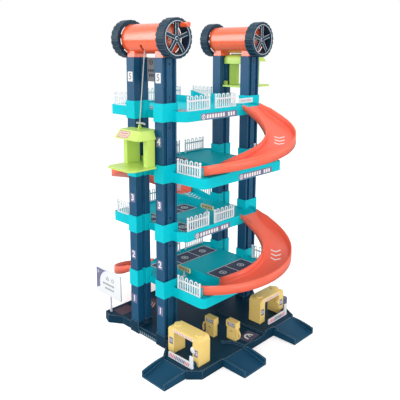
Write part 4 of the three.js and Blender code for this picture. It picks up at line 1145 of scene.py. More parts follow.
def layered_piece(name, layers, body, more=()):
    """One piece from layers of parts, each with its own finish, and more meshes beside them."""
    meshes = [parts_mesh(name, parts, finish) for finish, parts in layers]
    return joined_piece(name, meshes + list(more), body)


def number_mesh(text, size, at, finish, bold=0.0):
    """A plain number as a flat raised mark. The text is made a mesh before it is placed."""
    curve = bpy.data.curves.new("number", "FONT")
    curve.body = text
    curve.size = size * MM
    curve.extrude = FILM["ink"] * MM
    curve.offset = bold * MM
    curve.resolution_u = 3
    curve.align_x, curve.align_y = "CENTER", "CENTER"
    host = new_object("number", curve)
    mesh = as_final_mesh(host, "number")
    bpy.data.objects.remove(host)
    work = bmesh.new()
    work.from_mesh(mesh)
    bmesh.ops.remove_doubles(work, verts=work.verts, dist=WELD * MM)
    work.to_mesh(mesh)
    work.free()
    mesh.materials.clear()
    mesh.materials.append(finish)
    move_mesh(mesh, at)
    return mesh

# %% [markdown]
# A long label runs along the front of each deck: a slate strip with a ring and two
# rows of plain white blocks, seven and three. It stands for lettering without any words.

# %% Labels on the fronts of the decks
LABEL = {"half": 42.5, "half_height": 4.9, "corner": 1.2, "below_rim": 10.6, "ring": 4.1,
         "ring_width": 1.3, "ring_inset": 5.5, "bar": (0.8, 2.0, 0.3), "block": (4.3, 6.2),
         "pitch": 6.3, "rows": ((7, -28.0), (3, 22.0))}
LABELS = {"2": (25.0, -110.0), "3": (-28.5, -66.5), "4": (25.0, -110.0), "5": (-15.5, -66.5)}


def block_row(count, start, size, pitch, at, finish):
    """A row of upright blocks, starting at a place along the label."""
    block = [mark(rounded_box(size[0] / 2, size[1] / 2, BLOCK_CORNER, SMALL_STEPS), HERE)]
    return repeated("blocks", row_tree, block, row_from(start, count, pitch), finish, at)


for level, (x, y) in LABELS.items():
    at = place_on("front", (x, y, DECK_RIMS[level] - LABEL["below_rim"]))
    ring_at = shifted(at, -LABEL["half"] + LABEL["ring_inset"], 0.0)
    layered_piece("deck_label_" + level, [
        (slate_film, [film(rounded_box(LABEL["half"], LABEL["half_height"], LABEL["corner"]), at)]),
        (white_ink, [ring_mark(LABEL["ring"], LABEL["ring_width"], ring_at),
                     mark(rounded_box(*LABEL["bar"], SMALL_STEPS), ring_at)]),
    ], "garage", [
        block_row(count, start, LABEL["block"], LABEL["pitch"], at, white_ink)
        for count, start in LABEL["rows"]
    ])
print("labels:", sorted(LABELS))

# %% [markdown]
# The columns show the number of each floor about halfway up its storey. The top floor
# has grey digits on white sheets, and the others have white digits on slate ones. Tower
# B repeats them on its own outer side.

# %% Floor numbers on the columns
NUMBER_HEIGHTS = {"1": 61.0, "2": 139.5, "3": 236.5, "4": 336.0, "5": 432.0}
PLATE = {"half": 5.8, "half_height": 7.6, "corner": 1.0, "digit": 14.5, "bold": 0.35}
for tower, side, x in (("a", "left", -TOWER_X - COLUMN_HALF_X), ("b", "right", TOWER_X + COLUMN_HALF_X)):
    sheets, digits = {"top": [], "other": []}, []
    for level, z in NUMBER_HEIGHTS.items():
        for y in (-COLUMN_Y, COLUMN_Y):
            at = place_on(side, (x, y, z))
            sheet = film(rounded_box(PLATE["half"], PLATE["half_height"], PLATE["corner"]), at)
            sheets["top" if level == TOP_LEVEL else "other"].append(sheet)
            ink = grey_film if level == TOP_LEVEL else white_ink
            digits.append(number_mesh(level, PLATE["digit"], at, ink, PLATE["bold"]))
    layered_piece("floor_numbers_" + tower, [
        (white_film, sheets["top"]), (slate_film, sheets["other"]),
    ], "garage", digits)
print("numbers on each tower:", 2 * len(NUMBER_HEIGHTS))

# %% [markdown]
# The parking bays are dark sheets stuck on the floors, with a white border, white lines
# between the bays, and a ring with a small bar in each bay. The second and the third
# floor have two sheets each, and the fourth and the fifth have one. The table gives the
# floor, the ends along X and Y, the lines between the bays, and the axis they follow.

# %% Parking bays
BAY = {"inset": 1.8, "line": 0.8, "corner": 1.5, "ring": 6.6, "ring_width": 1.7, "bar": (1.2, 3.0, 0.4)}
BAYS = {
    "bays_2_front": ("2", (-16.0, 78.0), (-76.0, -39.0), 1, "x"),
    "bays_2_back": ("2", (-62.0, 78.0), (17.0, 55.0), 2, "x"),
    "bays_4_back": ("4", (-62.0, 4.0), (17.0, 55.0), 1, "x"),
    "bays_3_left": ("3", (-82.0, -52.0), (-54.0, 58.0), 2, "y"),
    "bays_3_back": ("3", (-38.0, 28.0), (22.0, 58.0), 1, "x"),
    "bays_5_left": ("5", (-82.0, -52.0), (-54.0, 58.0), 2, "y"),
}


def line_frame(half_x, half_y):
    """The outlines of four lines around a bay."""
    x, y = half_x - BAY["inset"], half_y - BAY["inset"]
    corners = [(-x, -y), (x, -y), (x, y), (-x, y)]
    return [strip(corners[i], corners[(i + 1) % 4], BAY["line"]) for i in range(4)]


for name, (level, xs, ys, inner_lines, along_axis) in BAYS.items():
    floor_z = DECK_RIMS[level] - DECK_FLOOR_BELOW_RIM
    half_x, half_y = (xs[1] - xs[0]) / 2, (ys[1] - ys[0]) / 2
    at = place_on("top", ((xs[0] + xs[1]) / 2, (ys[0] + ys[1]) / 2, floor_z))
    reach = half_x if along_axis == "x" else half_y
    pitch = 2 * reach / (inner_lines + 1)
    across = half_y if along_axis == "x" else half_x
    line_at = at if along_axis == "x" else shifted(at, 0.0, 0.0, QUARTER_DEGREES)
    divider = [mark(strip((0, -across + BAY["inset"]), (0, across - BAY["inset"]), BAY["line"]), HERE)]
    dividers = repeated("dividers", row_tree, divider,
                        row_from(-reach + pitch, inner_lines, pitch), white_ink, line_at)
    symbol = [ring_mark(BAY["ring"], BAY["ring_width"], HERE),
              mark(rounded_box(*BAY["bar"], SMALL_STEPS), HERE)]
    symbols = repeated("symbols", row_tree, symbol,
                       row_from(pitch / 2 - reach, inner_lines + 1, pitch), white_ink, line_at)
    layered_piece(name, [
        (bay_film, [film(rounded_box(half_x, half_y, BAY["corner"]), at)]),
        (white_ink, [mark(line, at) for line in line_frame(half_x, half_y)]),
    ], "garage", [dividers, symbols])
print("bay sheets:", len(BAYS))

# %% [markdown]
# Three white chevrons point down each curved ramp, on the slope of its first half.
# A row of five more leads down the sloping lane of a deck, where the ramp above lets
# the cars out. The top deck has no ramp above it, so its lane stays plain.

# %% Chevrons on ramps and lanes
CHEVRON = {"half": 8.0, "sweep": 4.6, "band": 2.3, "radius": 62.5, "angles": (48.0, 56.5, 65.0)}
LANE = {"start": Vector((72.0, 92.0)), "end": Vector((67.5, 61.0)), "count": 5, "size": 1.15,
        "foot": 56.4, "run": 38.0, "rise": 5.5}
SMALL_TURN = 0.01


def chevron_outline(size=1.0):
    """A bent band that points upwards in its own plane."""
    half, sweep, band = [size * CHEVRON[key] for key in ("half", "sweep", "band")]
    return [(-half, -sweep), (0, 0), (half, -sweep),
            (half, -sweep + band), (0, band), (-half, -sweep + band)]


def ramp_place(level, angle, radius):
    """The place on the floor of a curved ramp, tilted as the floor is, looking down the way."""
    sign = deck_sign(level)
    middle = RAMP["outer"] - RAMP["width"] / 2

    def point(turn):
        straight = RAMP["centre"] - RAMP["front"]
        part = (straight + middle * turn) / (straight + middle * HALF_TURN)
        drop = part * (1 + RAMP["steep"] * (1 - part) ** 2)
        z = DECK_RIMS[level] + RAMP["top"] + (RAMP["bottom"] - RAMP["top"]) * drop
        x, y = radius * math.cos(turn), -RAMP["centre"] - radius * math.sin(turn)
        return Vector((sign * x, sign * y, z))

    turn = math.radians(angle)
    way = (point(turn + SMALL_TURN) - point(turn - SMALL_TURN)).normalized()
    out = way.cross(Vector((0, 0, 1))).normalized().cross(way)
    return Matrix.Translation(point(turn)) @ axes_of(way.cross(out), way, out)


def lane_places(level):
    """The places of the chevrons down the slope of a deck's landing lane, looking down the way."""
    turned = deck_turn(level)
    floor_z = DECK_RIMS[level] - DECK_FLOOR_BELOW_RIM
    way = LANE["end"] - LANE["start"]
    slope = LANE["rise"] / LANE["run"]
    along = Vector((way.x, way.y, slope * way.y)).normalized()
    out = Vector((0.0, -slope, 1.0)).normalized()
    axes = axes_of(along.cross(out), along, out)
    for i in range(LANE["count"]):
        x, y = LANE["start"] + way * i / (LANE["count"] - 1)
        yield turned @ Matrix.Translation((x, y, floor_z + slope * (y - LANE["foot"]))) @ axes


for level in DECK_RIMS:
    places = [ramp_place(level, angle, CHEVRON["radius"]) for angle in CHEVRON["angles"]]
    marks = [mark(chevron_outline(), at) for at in places]
    layered_piece("ramp_chevrons_" + level, [(white_ink, marks)], "garage")
    if level != TOP_LEVEL:
        lane = [mark(chevron_outline(LANE["size"]), at) for at in lane_places(level)]
        layered_piece("lane_chevrons_" + level, [(white_ink, lane)], "garage")
print("chevrons on", len(DECK_RIMS), "ramps")

# %% [markdown]
# Beside the slope of each landing lane, a thin wall stands inside the fence and keeps
# the cars from the rim. It rises with the slope, so it is a plate with a slanted top.

# %% Outer walls of the landing lanes
LANE_WALL = {"inner": 87.5, "thick": 2.0, "front": 45.0, "back": 100.0, "low": 2.5, "high": 14.3}
for level, rim in DECK_RIMS.items():
    wall_at = deck_turn(level) @ place_on("right", (LANE_WALL["inner"], 0.0, rim))
    wall_outline = [
        (LANE_WALL["front"], -DECK_FLOOR_BELOW_RIM), (LANE_WALL["back"], -DECK_FLOOR_BELOW_RIM),
        (LANE_WALL["back"], LANE_WALL["high"]), (LANE_WALL["front"], LANE_WALL["low"]),
    ]
    wall = parts_mesh("wall", [plate(wall_outline, 0.0, LANE_WALL["thick"], wall_at)], teal)
    joined_piece("lane_outer_wall_" + level, [wall], "garage")
print("lane walls:", len(DECK_RIMS))

# %% [markdown]
# Two small yellow signs stand on the floors. Each has a round foot, a turned post and
# a plate with brown blocks between two dark lines. The table gives the place on the
# floor, and the height of the plate's middle over it.

# %% Small signs on posts
SIGN = {"half": 14.6, "half_height": 4.0, "thick": 1.4, "corner": 1.0, "foot": 3.6, "post": 1.2,
        "bevel": 0.5, "in_board": 0.6, "sides": 18, "block": (2.4, 3.8), "blocks": 7, "pitch": 3.7,
        "line": 0.3, "line_up": 3.2, "line_inset": 1}
SIGN_LEVELS = {"under": -0.1, "foot": 0.8, "foot_top": 1.2, "neck": 1.5, "post": 2.4}
SIGNS = {"2": (-50.0, -21.0, 12.5), "3": (20.0, -8.0, 9.5)}


def sign_post(post_top, at):
    """The round foot of a small sign with its turned post, up into the board."""
    foot, post, bevel = SIGN["foot"], SIGN["post"], SIGN["bevel"]
    return turned_part([
        (foot, SIGN_LEVELS["under"]), (foot, SIGN_LEVELS["foot"]),
        (foot - bevel, SIGN_LEVELS["foot_top"]), (post + bevel, SIGN_LEVELS["neck"]),
        (post, SIGN_LEVELS["post"]), (post, post_top),
    ], at, SIGN["sides"])


for level, (x, y, middle) in SIGNS.items():
    floor_z = DECK_RIMS[level] - DECK_FLOOR_BELOW_RIM
    post_top = middle - SIGN["half_height"] + SIGN["in_board"]
    post = sign_post(post_top, place_on("top", (x, y, floor_z)))
    board_at = place_on("left", (x + SIGN["thick"] / 2, y, floor_z + middle))
    face_at = place_on("left", (x - SIGN["thick"] / 2, y, floor_z + middle))
    board_outline = rounded_box(SIGN["half"], SIGN["half_height"], SIGN["corner"])
    board = plate(board_outline, 0.0, SIGN["thick"], board_at)
    reach = SIGN["half"] - SIGN["line_inset"]
    edge = [mark(strip((-reach, up), (reach, up), SIGN["line"]), face_at)
            for up in (-SIGN["line_up"], SIGN["line_up"])]
    layered_piece("small_sign_" + level, [
        (white, [post]), (yellow_film, [board]), (dark_ink, edge),
    ], "garage", [
        block_row(SIGN["blocks"], -(SIGN["blocks"] - 1) / 2 * SIGN["pitch"], SIGN["block"],
                  SIGN["pitch"], face_at, brown_ink),
    ])
print("small signs:", sorted(SIGNS))

# %% [markdown]
# Each toll arch has a thin white strip with pink bars above the opening, and a number
# on each leg. The arch at the side also has a pale half-round lamp inside its far leg.
# The lamp's table holds shares of its radius, each with a height over the face.

# %% Dress of the toll arches
ARCH = {"strip": 21.0, "strip_half": 1.9, "strip_up": 49.9, "strip_corner": 0.4, "strip_end": 1.5,
        "bars": 12, "bar": 0.6, "bar_lean": 0.9, "bar_reach": 1.5, "leg": 26.5, "number_up": 31.5,
        "plate": 3.9, "plate_height": 5.4, "plate_corner": 0.6, "digits": 7.2, "bold": 0.2,
        "lamp": 5.2, "lamp_up": 33.8, "lamp_sides": 28, "opening": 20.0}
ARCHES = {
    "side": ("left", Vector((-128.0, -98.0, 0.0)), ("11", "12"), 1),
    "front": ("front", Vector((66.0, -120.0, 3.0)), ("21", "22"), 0),
}
LAMP_DOME = [(0.9, -5.2), (1.0, -4.6), (1.0, -0.8), (0.93, -0.1), (0.75, 0.4), (0.4, 0.7)]


def arch_dress(name, side, foot, numbers, lamp_side):
    """The strip and the numbers of one arch, and its lamp unless the lamp's side is zero."""
    strip_at = shifted(place_on(side, foot), 0.0, ARCH["strip_up"])
    pitch = 2 * (ARCH["strip"] - ARCH["strip_end"]) / ARCH["bars"]
    lean, reach = ARCH["bar_lean"], ARCH["bar_reach"]
    hatch = [mark(strip((-lean, -reach), (lean, reach), ARCH["bar"]), HERE)]
    bars = repeated("hatch", row_tree, hatch, centred_row(ARCH["bars"], pitch), pink_ink, strip_at)
    plates, digits = [], []
    for sign, number in zip((-1, 1), numbers):
        leg_at = shifted(place_on(side, foot), sign * ARCH["leg"], ARCH["number_up"])
        plate_outline = rounded_box(ARCH["plate"], ARCH["plate_height"], ARCH["plate_corner"])
        plates.append(film(plate_outline, leg_at))
        digits.append(number_mesh(number, ARCH["digits"], leg_at, white_ink, ARCH["bold"]))
    strip_outline = rounded_box(ARCH["strip"], ARCH["strip_half"], ARCH["strip_corner"])
    layers = [(white_film, [film(strip_outline, strip_at)]), (slate_film, plates)]
    if lamp_side:
        lamp_at = shifted(place_on(side, foot), lamp_side * ARCH["opening"], ARCH["lamp_up"])
        dome = [(share * ARCH["lamp"], level) for share, level in LAMP_DOME]
        layers.append((white, [turned_part(dome, lamp_at, ARCH["lamp_sides"])]))
    layered_piece("arch_dress_" + name, layers, "garage", [bars] + digits)


for name, (side, foot, numbers, lamp_side) in ARCHES.items():
    arch_dress(name, side, foot, numbers, lamp_side)
print("arches dressed:", len(ARCHES))

# %% [markdown]
# A strip of slanted bars runs along each barrier arm, pink at both ends and slate in
# the middle. It rides on the arm, so it rises with it.

# %% Hatching on the barrier arms
ARM = {"bars": 13, "pitch": 3.3, "half": 0.85, "lean": 1.3, "low": 1.9, "high": 7.8, "pink": (4, 3)}
ARM_FACES = {
    "barrier_side": ("left", (-140.9, -102.5, 13.0)), "barrier_front": ("front", (64.5, -132.9, 16.0)),
}
for body, (side, at_arm) in ARM_FACES.items():
    at = place_on(side, at_arm)
    pink_bars, slate_bars = [], []
    for i in range(ARM["bars"]):
        x = ARM["pitch"] * (i - (ARM["bars"] - 1) / 2)
        bar = mark(strip((x - ARM["lean"], ARM["low"]), (x + ARM["lean"], ARM["high"]), ARM["half"]), at)
        at_an_end = i < ARM["pink"][0] or i >= ARM["bars"] - ARM["pink"][1]
        if at_an_end:
            pink_bars.append(bar)
        else:
            slate_bars.append(bar)
    layered_piece(body + "_hatch", [(pink_ink, pink_bars), (slate_film, slate_bars)], body)
print("bars on each arm:", ARM["bars"])

# %% [markdown]
# Each fuel pump has a slate display in a shallow recess, a slot below it, and a hose
# moulded on its side. The hose is a round tube along a bent path, made by a small tree.

# %% Geometry Nodes: a tube along a path
tube_tree = group_tree("tube_on_path", "GeometryNodeTree", [
    ("Path", "INPUT", GEOMETRY, None),
    ("Radius", "INPUT", FLOAT, 0.001),
    ("Stations", "INPUT", INTEGER, 24),
    ("Finish", "INPUT", MATERIAL, None),
    ("Tube", "OUTPUT", GEOMETRY, None),
])
tube_tree.is_modifier = True
tube_in = step(tube_tree, "NodeGroupInput").outputs
tube_line = step(tube_tree, "GeometryNodeMeshToCurve", {"Mesh": tube_in["Path"]})
tube_soft = step(tube_tree, "GeometryNodeCurveSplineType", {"Curve": tube_line.outputs["Curve"]},
                 spline_type="CATMULL_ROM")
tube_even = step(tube_tree, "GeometryNodeResampleCurve", {
    "Curve": tube_soft.outputs["Curve"], "Count": tube_in["Stations"],
})
tube_round = step(tube_tree, "GeometryNodeCurvePrimitiveCircle", {
    "Resolution": 10, "Radius": tube_in["Radius"],
})
tube_mesh = step(tube_tree, "GeometryNodeCurveToMesh", {
    "Curve": tube_even.outputs["Curve"], "Profile Curve": tube_round.outputs["Curve"], "Fill Caps": True,
})
end_tree(tube_tree, tube_mesh.outputs["Mesh"], tube_in["Finish"], "Tube")
print("tree made:", tube_tree.name)

# %% [markdown]
# The hose leaves the side of the pump, hangs down in a bend and comes up again beside
# the nozzle. The first pump has it on its left side, and the second on its right side.

# %% Dress of the fuel pumps
PUMP = {"side": 2.0, "aside": 1.0, "recess": 1.0, "display_up": 27.0, "display": (7.7, 3.4, 0.6),
        "slot_up": 15.5, "slot": (3.0, 0.5, 0.4), "ring": (1.3, 0.5), "ring_place": (5.0, 1.3)}
PUMP_ROWS = (((-5.8, 1.3), (2.2, 1.3), 0.65), ((-5.8, -1.3), (5.8, -1.3), 0.55))
HOSE = {"radius": 1.1, "forward": 3.5, "stations": 48, "path": (
    (0.0, -0.5, 19.0), (0.0, 2.6, 17.8), (-0.6, 5.6, 13.0), (-1.2, 4.6, 7.5), (-2.0, 2.2, 6.4),
    (-3.0, 1.2, 9.5), (-3.4, 1.2, 14.0), (-3.4, 1.6, 18.5), (-3.4, 0.4, 21.5))}
for number, sign in ((1, 1), (2, -1)):
    low, high = [[v / MM for v in corner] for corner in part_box("fuel_pump_%d" % number)]
    side_y = high[1] - PUMP["side"] if sign > 0 else low[1] + PUMP["side"]
    middle_y = (low[1] + high[1]) / 2 - sign * PUMP["aside"]
    face_x = low[0] + PUMP["recess"]
    at = place_on("left", (face_x, middle_y, BASE_FLOOR + PUMP["display_up"]))
    display = film(rounded_box(*PUMP["display"]), at)
    rows = [mark(strip(start, end, half), at) for start, end, half in PUMP_ROWS]
    rows.append(ring_mark(*PUMP["ring"], shifted(at, *PUMP["ring_place"])))
    slot_at = place_on("left", (face_x, middle_y, BASE_FLOOR + PUMP["slot_up"]))
    slot = film(rounded_box(*PUMP["slot"]), slot_at)
    layered_piece("pump_display_%d" % number, [
        (slate_film, [display, slot]), (white_ink, rows),
    ], "garage")
    hose_x = (low[0] + high[0]) / 2 - (HOSE["forward"] if sign > 0 else 0.0)
    path = [(hose_x + x, side_y + sign * y, BASE_FLOOR + z) for x, y, z in HOSE["path"]]
    run_tree(tube_tree, line_mesh("hose_path", path), "pump_hose_%d" % number, {
        "Radius": HOSE["radius"] * MM, "Stations": HOSE["stations"], "Finish": cream,
    }, "garage")
print("pumps dressed")

# %% [markdown]
# The big sign at the back has a white board with a slate corner, whose edge is part of
# a circle. It also has two small rings, a small triangle and two rows of grey blocks.
# Each row has its count, its start and its height on the board.

# %% Face of the big sign
board_at = place_on("left", (-117.5, 102.0, 65.5))
CORNER = {"middle": (2.0, -4.0), "radius": 27.0, "left": -34.2, "top": 22.2, "angles": (104.0, 196.0),
          "steps": 14, "below": 5.0, "beside": 3.0}
TRIANGLE = ((-6.0, 6.5), (2.0, 6.5), (-2.0, 12.5))
TRIANGLE_LINE = 0.4
BOARD_RINGS = {"white": (2.6, 0.8), "white_place": (-28.5, 15.5),
               "grey": (3.4, 0.8), "grey_place": (13.0, 8.5)}
BOARD_BLOCK, BOARD_PITCH = (2.2, 3.4), 3.7
BOARD_ROWS = ((9, -14.0, -2.0), (7, -8.0, -10.0))


def arc_points(middle, radius, angles, steps):
    """Points along a part of a circle, between two angles in degrees."""
    points = []
    for i in range(steps + 1):
        angle = math.radians(angles[0] + (angles[1] - angles[0]) * i / steps)
        points.append((middle[0] + radius * math.cos(angle), middle[1] + radius * math.sin(angle)))
    return points


arc = arc_points(CORNER["middle"], CORNER["radius"], CORNER["angles"], CORNER["steps"])
corner_film = [(CORNER["left"], CORNER["top"]), (CORNER["left"], arc[-1][1] - CORNER["below"])]
corner_film += list(reversed(arc)) + [(arc[0][0] + CORNER["beside"], CORNER["top"])]
triangle_lines = [strip(TRIANGLE[i], TRIANGLE[(i + 1) % 3], TRIANGLE_LINE) for i in range(3)]
layered_piece("sign_face", [
    (slate_film, [film(corner_film, board_at)]),
    (white_ink, [ring_mark(*BOARD_RINGS["white"], shifted(board_at, *BOARD_RINGS["white_place"]))]),
    (grey_film, [mark(line, board_at) for line in triangle_lines]
     + [ring_mark(*BOARD_RINGS["grey"], shifted(board_at, *BOARD_RINGS["grey_place"]))]),
], "garage", [
    block_row(count, start, BOARD_BLOCK, BOARD_PITCH, shifted(board_at, 0.0, up), grey_film)
    for count, start, up in BOARD_ROWS
])
print("sign face made")

# %% [markdown]
# Two plates fill out the towers: a grey one between the columns of the left tower, near
# the top, and a narrow white one beside the right sleeve of the fifth floor.

# %% Plates between the columns
SHAFT_PLATE = {"sheet": (24.2, 18.5, 1.0), "behind": -1.2, "ring": (4.2, 1.2), "ring_place": (-14.0, 11.5),
               "bar": (2.2, 0.6, 0.3), "block": (2.6, 4.0), "pitch": 4.0,
               "rows": ((9, -20.0, -1.5), (7, -18.0, -9.0))}
shaft_at = place_on("left", (-86.9, 0.0, 442.5))
shaft_sheet = plate(rounded_box(*SHAFT_PLATE["sheet"]), SHAFT_PLATE["behind"], 0.0, shaft_at)
shaft_ring_at = shifted(shaft_at, *SHAFT_PLATE["ring_place"])
layered_piece("shaft_plate", [
    (pale_grey_film, [shaft_sheet]),
    (dark_ink, [ring_mark(*SHAFT_PLATE["ring"], shaft_ring_at),
                mark(rounded_box(*SHAFT_PLATE["bar"], SMALL_STEPS), shaft_ring_at)]),
], "garage", [
    block_row(count, start, SHAFT_PLATE["block"], SHAFT_PLATE["pitch"],
              shifted(shaft_at, 0.0, up), dark_ink)
    for count, start, up in SHAFT_PLATE["rows"]
])

SLEEVE_FACE = -42.7
SLEEVE_PLATE = {"sheet": (18.5, 4.2, 0.8), "under": -0.3, "thick": 1.1, "block": (1.8, 2.6),
                "blocks": 9, "start": -13.5, "pitch": 3.3, "blocks_out": 0.9}
strip_at = place_on("front", (78.0, SLEEVE_FACE, 387.0))
sleeve_sheet = plate(rounded_box(*SLEEVE_PLATE["sheet"]), SLEEVE_PLATE["under"],
                     SLEEVE_PLATE["thick"], strip_at)
blocks_at = strip_at @ Matrix.Translation((0.0, 0.0, SLEEVE_PLATE["blocks_out"]))
layered_piece("sleeve_plate", [
    (white_film, [sleeve_sheet]),
], "garage", [
    block_row(SLEEVE_PLATE["blocks"], SLEEVE_PLATE["start"], SLEEVE_PLATE["block"],
              SLEEVE_PLATE["pitch"], blocks_at, pink_ink),
])
print("plates placed")

# %% [markdown]
# The cabin's sloping roof carries a pale pink sticker with a brown edge. The string
# ends in a knot with two loops over the roof's lug, one long and one short.

# %% Dress of the lift cabins
ROOF = {"low": (153.0, 340.5), "high": (143.0, 354.0), "aside": 9.0, "sheet": (13.0, 6.2, 1.4),
        "edge": (12, 5.2), "edge_line": 0.4, "pitch": 3.0}
ROOF_ROWS = ((6, -7.5, (1.6, 2.4), 1.8), (7, -9.0, (1.6, 1.6), -2.2))
BOW = {"radius": 0.6, "inset": 0.8, "up": 1.6, "stations": 72, "reaches": (14.0, -6.0), "loop": (
    (0.0, 0.0, 0.0), (0.8, 0.4, 1.2), (1.2, 0.9, 0.8), (1.0, 1.0, -0.7), (0.4, 0.5, -0.5))}
for tower, sign in (("a", -1), ("b", 1)):
    lift = 0.0 if tower == "a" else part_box("lift_cabin_b")[0][2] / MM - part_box("lift_cabin_a")[0][2] / MM
    (x0, z0), (x1, z1) = ROOF["low"], ROOF["high"]
    slope = Vector((sign * (x1 - x0), 0.0, z1 - z0)).normalized()
    out = Vector((0, sign, 0)).cross(slope)
    if out.z < 0:
        out = -out
    across = slope.cross(out)
    middle = Vector((sign * (x0 + x1) / 2, -sign * ROOF["aside"], (z0 + z1) / 2 + lift))
    at = Matrix.Translation(middle) @ axes_of(across, slope, out)
    sheet = rounded_box(*ROOF["sheet"])
    far, up = ROOF["edge"]
    ends = (((-far, up), (far, up)), ((-far, -up), (far, -up)),
            ((-far, -up), (-far, up)), ((far, -up), (far, up)))
    edge = [strip(start, end, ROOF["edge_line"]) for start, end in ends]
    layered_piece("roof_sticker_" + tower, [
        (pink_film, [film(sheet, at)]), (brown_ink, [mark(line, at) for line in edge]),
    ], "lift_" + tower, [
        block_row(count, start, size, ROOF["pitch"], shifted(at, 0.0, height), brown_ink)
        for count, start, size, height in ROOF_ROWS
    ])
    low, high = [[v / MM for v in corner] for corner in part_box("lift_string_" + tower)]
    knot_x = low[0] + BOW["inset"] if sign < 0 else high[0] - BOW["inset"]
    knot = Vector((knot_x, 0.0, low[2] + BOW["up"]))
    loops = []
    for reach in BOW["reaches"]:
        loops += [knot + Vector((sign * out, sign * along * reach, up)) for out, along, up in BOW["loop"]]
    run_tree(tube_tree, line_mesh("loop_path", loops + [knot]), "string_bow_" + tower, {
        "Radius": BOW["radius"] * MM, "Stations": BOW["stations"], "Finish": string_look,
    }, "lift_" + tower)
print("cabins dressed")

# %% [markdown]
# On the base lie a dark sheet with a white arc near the front and two maroon sheets
# further back, one plain and one with three pink strokes. All of them are plain shapes.

# %% Stickers on the base
EMBLEM = {"turn": 8.0, "sheet": (16.0, 11.0, 1.2), "outer": 8.8, "inner": 5.6, "down": 1.0,
          "from": 200.0, "sweep": 220.0, "steps": 12, "hand": ((0, -2.5), (3.6, 3.0), 1.0)}
emblem_at = place_on("top", (-7.0, -128.0, BASE_FLOOR), EMBLEM["turn"])
dial = []
for i in range(EMBLEM["steps"] + 1):
    angle = math.radians(EMBLEM["from"] - EMBLEM["sweep"] * i / EMBLEM["steps"])
    dial.append((math.cos(angle), math.sin(angle)))
outer, inner, down = EMBLEM["outer"], EMBLEM["inner"], EMBLEM["down"]
dial_band = [(outer * c, outer * d - down) for c, d in reversed(dial)]
dial_band += [(inner * c, inner * d - down) for c, d in dial]
layered_piece("base_emblem", [
    (bay_film, [film(rounded_box(*EMBLEM["sheet"]), emblem_at)]),
    (white_ink, [mark(dial_band, emblem_at), mark(strip(*EMBLEM["hand"]), emblem_at)]),
], "garage")

MAROON_SHEET = (16.0, 13.0, 1.2)
maroon_at = place_on("top", (-93.0, 88.0, BASE_FLOOR))
layered_piece("base_maroon", [
    (maroon_film, [film(rounded_box(*MAROON_SHEET), maroon_at)]),
], "garage")

STROKES = {"sheet": (15.0, 14.0, 1.2), "start": (-9.0, -5.0), "end": (5.0, 4.0), "half": 0.9,
           "ups": (-7.0, -1.5, 4.0)}
strokes_at = place_on("top", (-42.0, 72.0, BASE_FLOOR))
(start_x, start_y), (end_x, end_y) = STROKES["start"], STROKES["end"]
strokes = [strip((start_x, up + start_y), (end_x, up + end_y), STROKES["half"]) for up in STROKES["ups"]]
layered_piece("base_strokes", [
    (maroon_film, [film(rounded_box(*STROKES["sheet"]), strokes_at)]),
    (pink_film, [mark(stroke, strokes_at) for stroke in strokes]),
], "garage")
print("base stickers placed")

# %% [markdown]
# Between the feet of the columns, the edge of the base is cut into small teeth. Their pale
# navy is painted highlight, for the light that their ridges catch. One tooth is drawn, and
# a row of it stands on each side.

# %% Teeth along the edge of the base
# A pale navy that paints the highlight on the teeth.
highlight_pale_navy = moulded_plastic("highlight_pale_navy", (0.28, 0.36, 0.42), (0.22, 0.30, 0.36),
                            (0.50, 0.58, 0.64), 0.46, rub_and_highlight=0.8, edge=0.0003)
TOOTH = {"width": 2.0, "height": 5.6, "corner": 0.4, "under": -0.3, "out": 1.0, "up": 0.2,
         "count": 9, "pitch": 5.0}
BASE_SIDE = 113.0
tooth_outline = rounded_box(TOOTH["width"] / 2, TOOTH["height"] / 2, TOOTH["corner"], SMALL_STEPS)
tooth = plate(tooth_outline, TOOTH["under"], TOOTH["out"], HERE)
teeth = []
for side, x in (("left", -BASE_SIDE), ("right", BASE_SIDE)):
    row_at = place_on(side, (x, 0.0, TOOTH["height"] / 2 + TOOTH["up"]))
    row_values = centred_row(TOOTH["count"], TOOTH["pitch"])
    teeth.append(repeated("teeth", row_tree, [tooth], row_values, highlight_pale_navy, row_at))
joined_piece("base_teeth", teeth, "garage")
print("teeth on each side:", TOOTH["count"])

# %% [markdown]
# The floor and the world are plain and pale, and five lamps give a soft light: a weak
# one in front at the left, a stronger one in front at the right, one above, and a low
# one in front that reaches the base under the decks. The fifth is tall and narrow. It
# stands at the left, and lays a pale band along the round drums. The world looks white
# to the camera and in reflections, and the object's shadow stays on the floor.
# The lamps' table gives a place, a width and height in metres, and a power in watts.

# %% Stage and light
LAMPS = {
    "left": ((-1.9, -0.7, 1.3), (1.3, 1.3), 5.0),
    "band": ((-1.1, 1.0, 0.90), (0.5, 1.3), 11.0),
    "right": ((1.0, -2.0, 1.0), (1.6, 1.6), 14.0),
    "top": ((0.1, 0.3, 2.2), (1.5, 1.5), 16.0),
    "low": ((-1.3, -1.5, 0.45), (1.2, 0.8), 14.0),
}
AIM = Vector((0.0, 0.0, 0.3))
WORLD = {"white": (1.0, 1.0, 1.0, 1.0), "light": 0.62, "seen": 1.0}
FLOOR = {"rough": 0.9, "shine": 0.1, "colour": (0.60, 0.60, 0.60, 1.0),
         "seen_colour": (0.96, 0.96, 0.96, 1.0), "seen_glow": 0.42}
for name, (place_of_lamp, (across, up), power) in LAMPS.items():
    data = bpy.data.lights.new(name, "AREA")
    data.shape = "RECTANGLE"
    data.size, data.size_y, data.energy = across, up, power
    lamp = bpy.data.objects.new(name, data)
    lamp.location = place_of_lamp
    lamp.rotation_euler = (AIM - lamp.location).to_track_quat("-Z", "Y").to_euler()
    bpy.context.collection.objects.link(lamp)

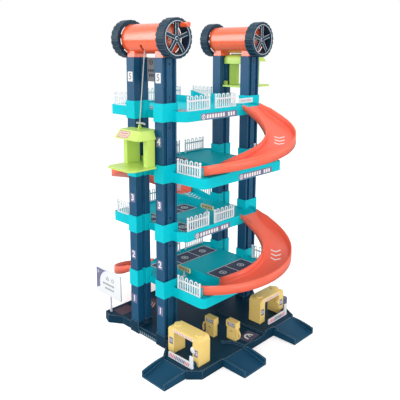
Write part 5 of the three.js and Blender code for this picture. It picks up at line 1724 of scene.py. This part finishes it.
world = bpy.data.worlds.new("studio")
bpy.context.scene.world = world
world.use_nodes = True
world_tree = world.node_tree
world_ray = step(world_tree, "ShaderNodeLightPath")
looked_at = step(world_tree, "ShaderNodeMath", {
    0: world_ray.outputs["Is Camera Ray"], 1: world_ray.outputs["Is Transmission Ray"],
}, operation="MAXIMUM")
seen = step(world_tree, "ShaderNodeMath", {
    0: looked_at.outputs["Value"], 1: world_ray.outputs["Is Glossy Ray"],
}, operation="MAXIMUM")
lit_world = step(world_tree, "ShaderNodeBackground", {"Color": WORLD["white"], "Strength": WORLD["light"]})
white_world = step(world_tree, "ShaderNodeBackground", {"Color": WORLD["white"], "Strength": WORLD["seen"]})
world_mix = step(world_tree, "ShaderNodeMixShader", {
    0: seen.outputs["Value"], 1: lit_world.outputs["Background"], 2: white_world.outputs["Background"],
})
world_tree.links.new(world_mix.outputs["Shader"], world_tree.nodes["World Output"].inputs["Surface"])

FLOOR_HALF = 12.0
FLOOR_DROP = 0.0002
FLOOR_CORNERS = ((-1, -1), (1, -1), (1, 1), (-1, 1))
floor_points = [(x * FLOOR_HALF, y * FLOOR_HALF, -FLOOR_DROP) for x, y in FLOOR_CORNERS]
floor_mesh = bpy.data.meshes.new("studio_floor")
floor_mesh.from_pydata(floor_points, [], [(0, 1, 2, 3)])
floor = new_object("studio_floor", floor_mesh)
floor_look, floor_tree, floor_shader = new_material("studio_floor")
floor_shader.inputs["Roughness"].default_value = FLOOR["rough"]
floor_shader.inputs["Specular IOR Level"].default_value = FLOOR["shine"]
floor_ray = step(floor_tree, "ShaderNodeLightPath")
floor_colour = step(floor_tree, "ShaderNodeMix", {
    0: floor_ray.outputs["Is Camera Ray"], 6: FLOOR["colour"], 7: FLOOR["seen_colour"],
}, data_type="RGBA")
floor_glow = step(floor_tree, "ShaderNodeMath", {
    0: floor_ray.outputs["Is Camera Ray"], 1: FLOOR["seen_glow"],
}, operation="MULTIPLY")
floor_shader.inputs["Emission Color"].default_value = WORLD["white"]
floor_tree.links.new(floor_glow.outputs["Value"], floor_shader.inputs["Emission Strength"])
floor_tree.links.new(floor_colour.outputs[2], floor_shader.inputs["Base Color"])
floor_mesh.materials.append(floor_look)
